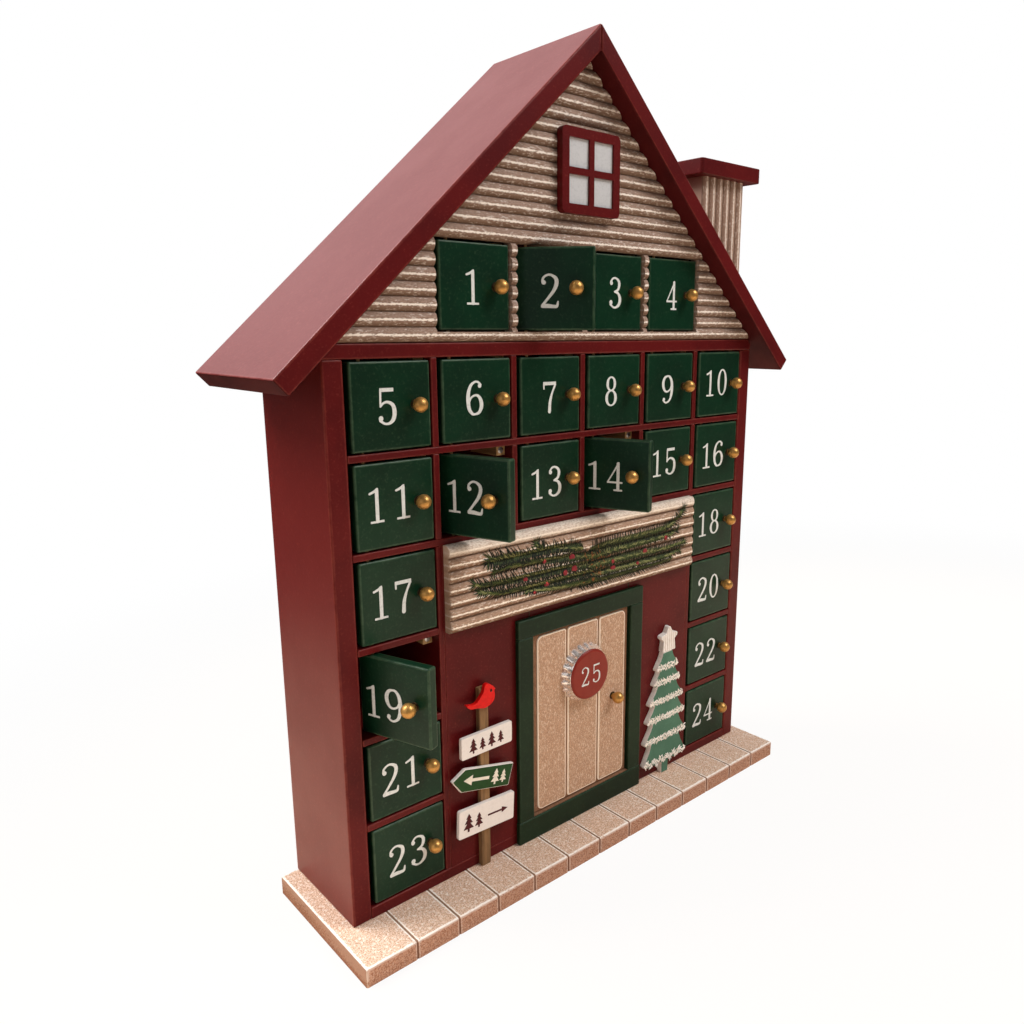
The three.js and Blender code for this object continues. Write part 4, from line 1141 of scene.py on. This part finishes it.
def make_siding():
    attic = HINGES["door_01"].z
    holes = []
    for i in range(4):
        x = cell_left(1 + i)
        holes.append((x, x + cell_width, attic, attic + ATTIC_DOOR_HEIGHT))
    half = right_high.x
    xs = spaced(-half, half, 2.4, [v for hole in holes for v in hole[:2]])
    low, high = corners("gable_siding")
    peak = (0, 0, high.z)
    slopes = [(peak, (side * math.sin(ROOF_SLOPE), 0, math.cos(ROOF_SLOPE))) for side in (1, -1)]
    count = math.ceil((high.z - low.z) / RIB_PITCH)
    ribbed_sheet("siding", xs, low.z, RIB_PITCH, RIB_DEPTH, count, siding_front + RIB_DEPTH, high.y, holes,
                 slopes, "gable_siding")
    low, high = corners("garland_board")
    rounded = (0.25, 0.6, 1.1)
    xs = spaced(low.x, high.x, 2.0, [low.x + r for r in rounded] + [high.x - r for r in rounded])
    ribbed_sheet("name_board", xs, low.z, BOARD_PITCH, RIB_DEPTH, BOARD_RIBS, low.y + RIB_DEPTH, high.y, [],
                 [], "garland_board", BOARD, 1.2)
    make_attic(siding_high.z)
    # Nail holes as small dark discs: painted shade in place of real holes.
    dots = bmesh.new()
    for x, z in NAIL_HOLES:
        place = shift(x, siding_front + RIB_DEPTH - 0.15, siding_low.z + z)
        lathe(dots, [(0, -0.05), (0.42, 0), (0.42, 0.6), (0, 0.6)], 10, place)
    finish_mesh("nail_holes", dots, [NAIL_HOLE_PAINTED_SHADE])


def make_attic(peak):
    """The uprights between the attic's cells and the ceiling over them."""
    low, high = corners("attic_cells")
    cells = []
    for i in range(5):
        x = cell_left(1 + i)
        top = min(high.z - CEILING, peak - (abs(x - DIVIDER / 2) + 2) * math.tan(ROOF_SLOPE) - 0.3)
        cells.append(((x - DIVIDER, low.y, attic_base), (x, board_back, top)))
    reach = (peak - high.z) / math.tan(ROOF_SLOPE)
    cells.append(((-reach, low.y, high.z - CEILING), (reach, board_back, high.z)))
    # Painted shade: the attic's uprights and ceiling take the darker copy of the red paint.
    board("attic_boards", cells, RED_PAINTED_SHADE, 0.3, 0.5, replaces=["attic_cells"])


def make_roof():
    for side, node in ((-1, "roof_left"), (1, "roof_right")):
        low, high = corners(node)
        ridge = side * 0.15
        eave = low.x if side < 0 else high.x
        top = high.z
        foot = top - (abs(eave) - 0.15) * math.tan(ROOF_SLOPE)
        points = [(ridge, top - ROOF_THICK / math.cos(ROOF_SLOPE)), (ridge, top), (eave, foot),
                  (eave - side * ROOF_THICK * math.sin(ROOF_SLOPE), foot - ROOF_THICK * math.cos(ROOF_SLOPE))]
        # Painted light and shade: the slopes take the lighter copy of the red paint, the ends the plain red,
        # the underside the darker copy.
        slab = cutout(f"{node}_board", points, low.y, high.y, RED_ROOF_PAINTED_LIGHT, 0.7, 1.0, replaces=[node])
        repaint(slab, RED, lambda face: abs(face.normal.y) > 0.5)
        repaint(slab, RED_PAINTED_SHADE, lambda face: face.normal.z < -0.3)


def make_chimney():
    low, high = corners("chimney_stack")
    depth = STACK_RIB_DEPTH
    line = []
    for rib in range(STACK_RIBS):
        for k in range(8):
            rise = rib_rise(k / 8, STACK_PITCH, depth)
            line.append((low.x + (rib + k / 8) * STACK_PITCH, low.y + depth * (1 - rise)))
    line.append((high.x, low.y + depth))
    side = [(high.x, low.y + depth + (high.y - low.y - 2 * depth) * i / 8) for i in range(1, 8)]
    mirror = [(x, low.y + high.y - y) for x, y in reversed(line)]
    outline = [*line, *side, *mirror, *((low.x, y) for _, y in reversed(side))]
    bm = bmesh.new()
    rings = []
    for z in spaced(low.z - 2, high.z, 2.5):
        uneven = [0.07 * noise.noise(Vector((n * 0.3, z * 0.08, 5))) for n in range(len(outline))]
        rings.append([bm.verts.new((x, y + off, z)) for (x, y), off in zip(outline, uneven)])
    bridge(bm, rings)
    cut(bm, (high.x, 0, low.z), (-math.sin(ROOF_SLOPE), 0, -math.cos(ROOF_SLOPE)))
    for level in (True, False):
        rim = [e for e in bm.edges if e.is_boundary and (e.verts[0].co.z > high.z - 0.01) == level]
        bmesh.ops.triangle_fill(bm, use_beauty=True, edges=rim)
    face_out(bm)
    finish_mesh("chimney", bm, [STACK], "house", ["chimney_stack"], 45)
    low, high = corners("chimney_cap")
    bm = bmesh.new()
    prism(bm, rounded_outline(low.x, high.x, low.y, high.y, (2, 2, 2, 2), 5), low.z, high.z)
    soften(bm, 0.5, 0)
    lay = Matrix(((1, 0, 0, 0), (0, 0, 1, 0), (0, 1, 0, 0), (0, 0, 0, 1)))
    bmesh.ops.transform(bm, matrix=lay, verts=bm.verts)
    face_out(bm)
    finish_mesh("chimney_top", bm, [RED], "house", ["chimney_cap"])


def make_window():
    low, high = corners("window_frame")
    mid_x, mid_z = (low.x + high.x) / 2, (low.z + high.z) / 2
    xs = [low.x + WINDOW_BORDER, mid_x - WINDOW_BAR / 2, mid_x + WINDOW_BAR / 2, high.x - WINDOW_BORDER]
    zs = [low.z + WINDOW_BORDER, mid_z - WINDOW_BAR / 2, mid_z + WINDOW_BAR / 2, high.z - WINDOW_BORDER]
    inner = [(xs[a], xs[b], zs[c], zs[d]) for a, b in ((0, 1), (2, 3)) for c, d in ((0, 1), (2, 3))]
    outline = rounded_outline(low.x, high.x, low.z, high.z, (2.4, 2.4, 2.4, 2.4), 5)
    loops = [outline] + [[(a, c), (b, c), (b, d), (a, d)] for a, b, c, d in inner]
    bm = bmesh.new()
    edges = []
    for loop in loops:
        verts = [bm.verts.new((x, low.y, z)) for x, z in loop]
        edges += [bm.edges.new((verts[i], verts[(i + 1) % len(verts)])) for i in range(len(verts))]
    bmesh.ops.triangle_fill(bm, use_beauty=True, edges=edges, normal=(0, -1, 0))
    bmesh.ops.dissolve_limit(bm, angle_limit=0.01, verts=bm.verts, edges=bm.edges)
    thicken(bm, list(bm.faces), high.y - low.y)
    face_out(bm)
    sharp = [e for e in bm.edges if len(e.link_faces) == 2 and e.calc_face_angle(0) > math.radians(60)]
    bmesh.ops.bevel(bm, geom=sharp, offset=0.3, segments=3, profile=0.5, affect="EDGES", clamp_overlap=True)
    edge = bm.verts.layers.float.new("edge")
    for vert in bm.verts:
        vert[edge] = 0.4
    finish_mesh("window", bm, [RED], "house", ["window_frame"], 50)
    low, high = corners("window_panes")
    panes = [((a - 0.3, low.y, c - 0.3), (b + 0.3, high.y - 0.2, d + 0.3)) for a, b, c, d in inner]
    board("panes", panes, PANE, 0.2, 0.4, replaces=["window_panes"])


def make_signs():
    board("post", [corners("sign_post")], POST, 0.35, 0.6, replaces=["sign_post"])
    for node, tilt, width, height in WHITE_SIGNS:
        outline = rounded_outline(-width / 2, width / 2, -height / 2, height / 2, (0.9, 0.9, 0.9, 0.9), 4)
        face = make_sign(node, outline, -tilt, 0.45) @ shift(0, PRINT_SUNK, 0)
        print_flat(f"{node}_marks", sign_marks(node), face, MARK_RED)
    width, height, point, slant = ARROW_SIGN
    face = make_sign("sign_arrow", arrow_board(*ARROW_SIGN), ARROW_TILT, 0.3)
    field_outline = arrow_board(width - 0.9, height - 0.7, point - 0.2, slant)
    print_flat("sign_arrow_field", [field_outline], face @ shift(0, PRINT_SUNK, 0), SIGN_GREEN)
    print_flat("sign_arrow_marks", sign_marks("sign_arrow"), face @ shift(0, -0.1, 0), MARK_CREAM)


def make_sign(node, outline, tilt, radius):
    """One board, turned by the tilt in degrees; returns the place of its front face."""
    low, high = corners(node)
    half = (high.y - low.y) / 2
    turn = Matrix.Translation((low + high) / 2) @ Matrix.Rotation(math.radians(tilt), 4, "Y")
    cutout(f"{node}_board", outline, -half, half, CREAM, radius, 0, replaces=[node], turn=turn)
    return turn @ shift(0, -half, 0)


def arrow_board(width, height, point, slant):
    """A board pointed at its left end and cut slightly aslant at its right."""
    return [(-width / 2, 0), (point - width / 2, -height / 2), (width / 2 - slant, -height / 2),
            (width / 2, height / 2), (point - width / 2, height / 2)]


def arrow_loop(x0, x1, z, half, head):
    neck = x1 - head
    wing = half * 3.4
    return [(x0, z - half), (neck, z - half), (neck, z - wing), (x1, z), (neck, z + wing), (neck, z + half),
            (x0, z + half)]


def fir_loop(x, z, size):
    points = [(0, 1), (0.32, 0.45), (0.16, 0.45), (0.5, -0.05), (0.2, -0.05), (0.62, -0.62), (0.12, -0.62),
              (0.12, -0.95)]
    return with_mirror([(x + px * size, z + pz * size) for px, pz in points], x)


def sign_marks(node):
    if node == "sign_top":
        firs = ((-8.2, 0, 3.9), (-2.8, -0.4, 3.2), (2.6, 0, 3.9), (8, -0.4, 3.2))
        return [fir_loop(*fir) for fir in firs]
    if node == "sign_arrow":
        return [arrow_loop(3.8, -11.5, 0, 0.75, -5), fir_loop(7.8, 0, 4), fir_loop(12.6, -0.2, 3.3)]
    return [fir_loop(-11, 0, 4.8), fir_loop(-4.9, -0.5, 3.9), arrow_loop(0.4, 12.5, 0, 0.45, 3.6)]


# The bird's outline: tail and back, crest, then beak, breast and belly
BIRD = [
    [(-6.65, -1.1), (-5.4, -1.4), (-4.1, -1.55), (-3.2, -1.3), (-2.3, -0.5), (-1.6, 0.25), (-1.0, 0.95),
     (-0.72, 1.5)],
    [(-0.6, 2.1), (-0.45, 2.8), (-0.1, 3.15), (0.6, 3.25), (1.44, 2.9), (2.3, 2.25)],
    [(2.75, 1.8), (3.3, 1.1), (2.92, 0.7), (3.05, -0.5), (2.85, -1.9), (1.95, -2.9), (0.5, -3.5),
     (-0.9, -3.6), (-2.3, -3.2), (-3.7, -2.85), (-5.1, -2.65), (-5.9, -2.2), (-6.6, -1.4)],
]


def make_bird():
    low, high = corners("red_bird")
    middle = low.x + 6.7 * BIRD_UNIT
    base = low.z + 4 * BIRD_UNIT
    outline = []
    for curve in BIRD:
        outline += smooth_path(curve, 5)
    points = [(middle + p[0] * BIRD_UNIT, base + p[1] * BIRD_UNIT) for p in outline]
    cutout("bird", points, low.y, high.y, SCARLET, 0.4, 0, replaces=["red_bird"], sharp=50)
    bm = bmesh.new()
    place = shift(middle + 1.76 * BIRD_UNIT, low.y, base + 0.95 * BIRD_UNIT)
    profile = [(0, -0.25), (0.5, -0.2), (0.75, 0.05), (0.75, 0.3), (0, 0.3)]
    lathe(bm, profile, 14, place @ Matrix.Diagonal((0.9, 1, 1.1, 1)))
    finish_mesh("bird_eye", bm, [BLACK])


def make_tree():
    """Six tiers, each a bowed slope down to a rounded tip, and a wavy skirt with the trunk below."""
    low, high = corners("fir_tree")
    centre = (low.x + high.x) / 2
    half = (high.x - low.x) / 2
    skirt = deck + TREE_SKIRT
    peak = high.z + 0.3
    start = (3.9, high.z)
    side = [start]
    tiers = []
    for i, (tip, fall) in enumerate(TREE_TIERS):
        x = half * tip
        z = peak - (peak - skirt) * fall
        for t in (0.25, 0.5, 0.75):
            bow = -0.16 * (x - start[0]) * math.sin(math.pi * t)
            side.append((start[0] + (x - start[0]) * t + bow, start[1] + (z + 1.6 - start[1]) * t))
        for angle in (60, 30, 0, -30, -60, -90):
            turn = math.radians(angle)
            side.append((x - 1.2 + 1.2 * math.cos(turn), z + 0.5 + 1.2 * math.sin(turn)))
        tiers.append((x, z))
        if i < len(TREE_TIERS) - 1:
            start = (x * 0.66, z + 1.0)
            side += [(x * 0.66 + 1.2, z - 0.2), start]
    waves = ((0.74, 1.6), (0.62, 0.4), (0.45, 1.9), (0.32, 0.6))
    side += [*((x * share, skirt - drop) for share, drop in waves), (2.75, skirt - 1.6), (2.75, deck)]
    points = [(centre + x, z) for x, z in [*reversed(side), *((-x, z) for x, z in side)]]
    cutout("tree", points, low.y, high.y, FIR, 0.4, 0, replaces=["fir_tree"], sharp=50, sides=SNOW)
    make_snow(centre, tiers, low.y)
    make_star()


def make_star():
    """A flat star with upright ribs, whose two lower points stand on the tree."""
    low, high = corners("tree_star")
    middle = (low.x + high.x) / 2
    half = (high.x - low.x) / 2
    tall = high.z - low.z
    shape = [(0, 1), (0.12, 0.965), (0.4, 0.73), (0.88, 0.69), (0.98, 0.655), (1, 0.6), (0.94, 0.55),
             (0.66, 0.44), (0.77, 0.05), (0.74, 0)]
    bm = bmesh.new()
    prism(bm, with_mirror([(middle + x * half, low.z + z * tall) for x, z in shape], middle), low.y, high.y)
    soften(bm, 0.55, 0)
    x = middle - math.ceil(half / STAR_RIB) * STAR_RIB
    while x < middle + half:
        cut(bm, (x, 0, 0), (1, 0, 0), clear=False)
        x += STAR_RIB / 6
    edge = bm.verts.layers.float["edge"]
    for vert in bm.verts:
        if vert.co.y < low.y + 0.01:
            groove = 0.5 + 0.5 * math.cos(2 * math.pi * (vert.co.x - middle) / STAR_RIB)
            vert.co.y += 0.42 * groove ** 2
            vert[edge] = 1 - groove
    finish_mesh("star", bm, [STAR], "house", ["tree_star"], 50)


def make_snow(centre, tiers, face):
    """Ragged cream garlands: two rows of short leaning strokes along the lower edge of each tier."""
    bm = bmesh.new()
    for level, (tip, z) in enumerate(tiers):
        lowest = level == len(tiers) - 1
        reach = tip - 1.0
        count = int(reach * 1.9)
        for row in (0, 1, 2):
            for i in range(count + 1):
                x = -reach + 2 * reach * i / count + random.uniform(-0.4, 0.4)
                sag = 1.5 * (1 - (x / tip) ** 2)
                lift = 0.7 - sag * 0.4 + row * 1.05 + random.uniform(-0.5, 0.5)
                if lowest:
                    lift += 1.2 * math.sin(x * 1.1) - 0.6
                lean = random.uniform(-1.3, 1.3)
                length = random.uniform(1.2, 2.3)
                add_stroke(bm, Vector((centre + x, face - 0.05, z + lift)), lean, length, 0.42)
        for side in (-1, 1):
            for k in range(4):
                x = centre + side * (tip - 1.3 + 0.3 * k)
                spot = Vector((x, face + 0.1, z + 0.5 + random.uniform(-0.5, 0.7)))
                add_stroke(bm, spot, side * 0.9 + random.uniform(-0.4, 0.4), 1.3, 0.65)
    finish_mesh("tree_garlands", bm, [SNOW])


def add_stroke(bm, place, lean, length, width):
    """One dab of thick paint, rounded, leaning from upright."""
    shape = Matrix.Diagonal((width, 0.45, length, 1))
    matrix = Matrix.Translation(place) @ Matrix.Rotation(lean, 4, "Y") @ shape
    bmesh.ops.create_icosphere(bm, subdivisions=1, radius=0.8, matrix=matrix)


def make_plinth():
    """A board with a rounded, worn edge and grooves from the front down to the wall."""
    low, high = corners("base_plinth")
    grooves = []
    x = high.x - PLINTH_BLOCK
    while x > low.x + PLINTH_BLOCK * 0.75:
        grooves.append(x)
        x -= PLINTH_BLOCK
    cuts = {round(x + side * off, 4): depth for x in grooves for off, depth in GROOVE for side in (-1, 1)}
    ends = {round(x + way * PLINTH_ROUND * t, 4)
            for x, way in ((low.x, 1), (high.x, -1)) for t in (0, 0.12, 0.35, 0.7, 1.0, 1.8)}
    plain_xs = [v for v in spaced(low.x + 3, high.x - 3, 5) if all(abs(v - c) > 0.8 for c in cuts)]
    bm = bmesh.new()
    edge = bm.verts.layers.float.new("edge")
    gap = bm.verts.layers.float.new("gap")
    rings = []
    for x in sorted({*cuts, *ends, *plain_xs}):
        near = min(x - low.x, high.x - x)
        pull = PLINTH_ROUND - math.sqrt(max(0.0, PLINTH_ROUND ** 2 - max(0.0, PLINTH_ROUND - near) ** 2))
        sunk = cuts.get(x, 0.0)
        worn_x = any(0.5 < abs(x - g) < 1.2 for g in grooves)
        verts = []
        for y, z, worn in plinth_section(low, high, pull, sunk):
            vert = bm.verts.new((x, y, z))
            ahead = y < front + 1.6
            if ahead and worn_x or near < 1.2 and z > 3:
                worn = 1.0
            vert[edge] = worn if sunk < 0.1 else 0.0
            vert[gap] = 1.0 if sunk > 0.1 and ahead else 0.0
            verts.append(vert)
        rings.append(verts)
    bridge(bm, rings)
    bm.faces.new(rings[0])
    bm.faces.new(rings[-1])
    face_out(bm)
    finish_mesh("paving", bm, [PLINTH], "house", ["base_plinth"], 60)


def plinth_section(low, high, pull, sunk):
    """The board's cut across: y, z and wear, pulled in near its ends and sunk in a groove."""
    rim = low.y + pull + sunk
    top = high.z - pull
    points = [(rim, z, 0.45) for z in (0.0, 0.5, 4.0, high.z - 1.4)]
    for i in range(5):
        angle = math.pi / 2 * i / 4
        points.append((rim + PLINTH_ROUND * (1 - math.cos(angle)),
                       top - sunk - PLINTH_ROUND * (1 - math.sin(angle)), 1.0))
    points += [(y, top - sunk, 0.45) for y in (low.y + 1.5, low.y + 8, low.y + 16, front - 1, front + 1.4)]
    points += [(y, top, 0.45) for y in (front + 2.2, 0, 20, high.y - 2.0)]
    return [*points, (high.y - 0.6 - pull, top, 1.0), (high.y - pull, top - 0.6, 1.0),
            (high.y - pull, 0.0, 0.45)]


# Printed fir branches: how far needles reach, and (x, height) points from the thick end to the tip
BRANCHES = [
    (5.0, [(-4, 26), (-20, 28.6), (-35, 29), (-50, 28.6), (-62, 29)]),
    (7.0, [(-44, 28.6), (-54, 29.4), (-62, 30.4)]),
    (5.5, [(-30, 28.5), (-33, 31), (-34, 32.5)]),
    (4.5, [(2, 21), (-16, 22.8), (-36, 24.6), (-50, 25.4), (-59, 24.4)]),
    (5.0, [(2, 16.4), (-20, 17.6), (-40, 18), (-56, 18.6), (-66, 19.4), (-71, 20.6)]),
    (4.5, [(4, 12), (-16, 12.6), (-40, 12.8), (-56, 13.6), (-68, 16.4)]),
    (4.0, [(6, 8), (-12, 8.4), (-28, 9.6), (-40, 11)]),
    (5.2, [(2, 23.4), (12, 24.6), (30, 25), (48, 25.4), (60, 26.4), (69, 30), (74, 34.4)]),
    (4.6, [(0, 19.6), (20, 21), (42, 21.4), (62, 22), (69, 23.8)]),
    (4.8, [(0, 15.4), (20, 15.6), (40, 15.2), (58, 14.6), (75, 15.6)]),
    (4.4, [(2, 11), (22, 10.8), (44, 10.4), (60, 10.2), (71, 11.6)]),
    (3.8, [(-6, 7), (14, 6.8), (36, 6.8), (56, 7), (63, 7.4)]),
]
BERRIES = [
    (-11, 22, 2.0), (-9.6, 15.9, 2.0), (-16, 15.4, 1.5), (-27.5, 12, 1.7), (-41, 16.6, 1.4),
    (-29, 23.7, 1.3), (42.7, 15.7, 1.8), (59.4, 20.7, 1.4), (17.6, 15, 1.2), (18.5, 10.7, 1.9),
    (37, 10.1, 1.2), (-36, 9.4, 1.0),
]


class Garland:
    """Fir branches with berries, printed across the ribbed board and following its ribs."""

    def __init__(self):
        self.low, self.high = corners("garland_board")
        self.chance = random.Random(7)
        self.meshes = [bmesh.new() for _ in NEEDLES]

    def share(self, z):
        return ((z - self.low.z) / BOARD_PITCH) % 1

    def spot(self, x, z, proud):
        """The point so far proud of the board at x and z."""
        z = min(max(z, self.low.z + 0.3), self.high.z - 0.3)
        rise = rib_rise(self.share(z), BOARD_PITCH, RIB_DEPTH)
        rib = int((z - self.low.z) / BOARD_PITCH)
        return x, self.low.y + RIB_DEPTH * (1 - rise) - wobble(x, z, rib) * rise - proud, z

    def strip(self, tone, rows):
        bm = self.meshes[tone]
        rows = [[bm.verts.new(point) for point in row] for row in rows]
        for a, b in zip(rows, rows[1:]):
            for k in range(len(a) - 1):
                bm.faces.new((a[k], a[k + 1], b[k + 1], b[k]))

    def needle(self, place, angle, length, tone, layer, width):
        way = Vector((math.cos(angle), math.sin(angle)))
        across = Vector((-way.y, way.x))
        bend = self.chance.uniform(-0.18, 0.18)
        proud = 0.2 + 0.05 * layer + self.chance.uniform(0, 0.04)
        rows = []
        for t in (0, 0.25, 0.5, 0.75, 1):
            middle = place + way * length * t + across * bend * length * t * t
            half = width * (1 - t) ** 0.6 + 0.05
            rows.append([self.spot(*(middle + across * half * side), proud) for side in (-1, 1)])
        self.strip(tone, rows)

    def ribbon(self, path, width, tone, proud):
        rows = []
        last = len(path) - 1
        for i, place in enumerate(path):
            way = (path[min(i + 1, last)] - path[max(i - 1, 0)]).normalized()
            across = Vector((-way.y, way.x))
            half = width * (1 - 0.8 * (i / last) ** 3)
            rows.append([self.spot(*(place + across * half * (k / 4 - 1)), proud) for k in range(9)])
        self.strip(tone, rows)

    # Painted light: needles on the upper face of a rib take lighter tones, those lower down darker.
    def lit_tone(self, z):
        share = self.share(z)
        if 0.5 < share < 0.95 and self.chance.random() < 0.7:
            return 2
        return self.chance.choice((0, 1)) if share < 0.4 else 1

    def needles_at(self, place, heading, length):
        """Long dark needles, shorter lit ones over them, and some that lie along the branch."""
        uniform = self.chance.uniform
        for side in (-1, 1):
            turn = heading + side * uniform(0.95, 1.3)
            self.needle(place, turn, length * uniform(0.95, 1.2), 0, 0, 0.36)
            turn = heading + side * uniform(0.5, 0.9)
            size = length * uniform(0.4, 0.65)
            self.needle(place, turn, size, self.lit_tone(place.y + side * 1.6), 1, 0.25)
            if self.chance.random() < 0.6:
                turn = heading + side * uniform(0.1, 0.35)
                size = uniform(1.6, 2.6)
                self.needle(place, turn, size, self.lit_tone(place.y), 2, 0.22)

    def branch(self, reach, points, proud):
        path = [Vector((x, self.low.z + z)) for x, z in smooth_path(points, 12)]
        self.ribbon(path, reach * 0.42, 4, proud)
        steps = [(b - a).length for a, b in zip(path, path[1:])]
        total = sum(steps)
        run = 0.0
        mark = 0.0
        for a, b, step in zip(path, path[1:], steps):
            heading = math.atan2((b - a).y, (b - a).x)
            while mark <= run + step:
                length = reach * (1 - 0.3 * (mark / total) ** 2)
                self.needles_at(a.lerp(b, (mark - run) / step), heading, length)
                mark += NEEDLE_STEP
            run += step
        end = path[-1] - path[-3]
        heading = math.atan2(end.y, end.x)
        for k in range(-4, 5):
            turn = heading + k * 0.27 + self.chance.uniform(-0.08, 0.08)
            self.needle(path[-1], turn, reach * self.chance.uniform(0.7, 0.95), 0 if k % 2 else 1, 1, 0.24)

    def twigs(self):
        chance = self.chance
        for _ in range(TWIGS):
            place = Vector((chance.gauss(6, 5), self.low.z + chance.uniform(7, 24)))
            turn = chance.uniform(-0.4, 2.4)
            size = chance.uniform(0.9, 2.2)
            self.needle(place, turn, size, chance.choice((0, 3, 3)), 3, 0.26)

    def berries(self):
        """Flat round berries, each with a small light spot."""
        bm = bmesh.new()
        profile = [(0, -0.5), (0.6, -0.4), (0.9, -0.2), (1.0, 0.3), (0, 0.5)]
        for x, z, radius in BERRIES:
            for scale, off, material in ((1.0, 0.0, 0), (0.3, 0.4, 1)):
                spot = self.spot(x - off * radius, self.low.z + z + off * radius, 0.3 + 0.25 * material)
                spread = Matrix.Diagonal((radius * scale, 0.4, radius * scale, 1))
                before = len(bm.faces)
                lathe(bm, profile, 14, Matrix.Translation(spot) @ spread)
                for face in list(bm.faces)[before:]:
                    face.material_index = material
        return bm


def make_garland():
    garland = Garland()
    for index, (reach, points) in enumerate(BRANCHES):
        garland.branch(reach, points, 0.05 + 0.01 * index)
    garland.twigs()
    for tone, bm in enumerate(garland.meshes):
        finish_mesh(f"garland_needles_{tone + 1}", bm, [NEEDLES[tone]])
    finish_mesh("garland_berries", garland.berries(), [BERRY, BERRY_SHINE])


def make_stage():
    """A pale table round the object, white to the camera everywhere, and a room that is darker in front."""
    bpy.ops.mesh.primitive_plane_add(size=12)
    floor = bpy.context.object
    floor.name = "studio_floor"
    material = bpy.data.materials.new("studio_white")
    material.use_nodes = True
    g = Graph(material.node_tree)
    away = g.add("VectorMath", {0: g.place, 1: Vector(TABLE_CENTRE)}, operation="DISTANCE")
    far = g.step(away.outputs["Value"], *TABLE_REACH)
    diffuse = g.add("BsdfDiffuse", {"Color": g.mix(far, TABLE_NEAR, TABLE_FAR)})
    share = g.add("MapRange", {"Value": far, "To Min": 0.92}).outputs[0]
    shown = g.calc("MULTIPLY", share, g.add("LightPath").outputs["Is Camera Ray"])
    white = g.add("Emission")
    blend = g.add("MixShader", {0: shown, 1: diffuse.outputs[0], 2: white.outputs[0]})
    g.add("OutputMaterial", {0: blend.outputs[0]})
    floor.data.materials.append(material)

    world = bpy.data.worlds.new("studio")
    bpy.context.scene.world = world
    world.use_nodes = True
    g = Graph(world.node_tree)
    way = g.coordinates["Generated"]
    both = g.calc("MULTIPLY", g.step(g.part_of(way, "Y"), -0.4, 0.5), g.step(g.part_of(way, "Z"), 0.05, 0.4))
    behind = g.add("MapRange", {"Value": both, "To Min": GLOSS_FRONT}).outputs[0]
    path = g.add("LightPath").outputs
    level = g.add("Mix", {"Factor": path["Is Glossy Ray"], "A": AMBIENT, "B": behind}).outputs[0]
    level = g.add("Mix", {"Factor": path["Is Camera Ray"], "A": level, "B": 1.0}).outputs[0]
    sky = g.add("Background", {"Color": (1, 1, 1, 1), "Strength": level})
    g.add("OutputWorld", {0: sky.outputs[0]})


def add_lamp(name, place, aim, size, power):
    data = bpy.data.lights.new(name, "AREA")
    data.size = size
    data.energy = power
    lamp = add_object(name, data)
    lamp.location = place
    lamp.rotation_euler = (Vector(aim) - Vector(place)).to_track_quat("-Z", "Y").to_euler()


def make_camera():
    data = bpy.data.cameras.new("camera")
    data.lens = CAMERA_LENS
    data.sensor_width = 36
    data.shift_x, data.shift_y = CAMERA_SHIFT
    data.clip_start = 0.01
    camera = add_object("camera", data)
    camera.location = CAMERA_PLACE
    camera.rotation_euler = (math.radians(90 - CAMERA_DOWN), 0, math.radians(CAMERA_TURN))
    bpy.context.scene.camera = camera


make_camera()
make_stage()
for lamp in LAMPS:
    add_lamp(*lamp)
bpy.context.scene.view_settings.view_transform = "Standard"

for make in (make_carcass, make_catches, make_front_panel, make_large_door, make_doors, make_siding,
             make_garland, make_roof, make_chimney, make_window, make_signs, make_bird, make_tree,
             make_plinth):
    make()
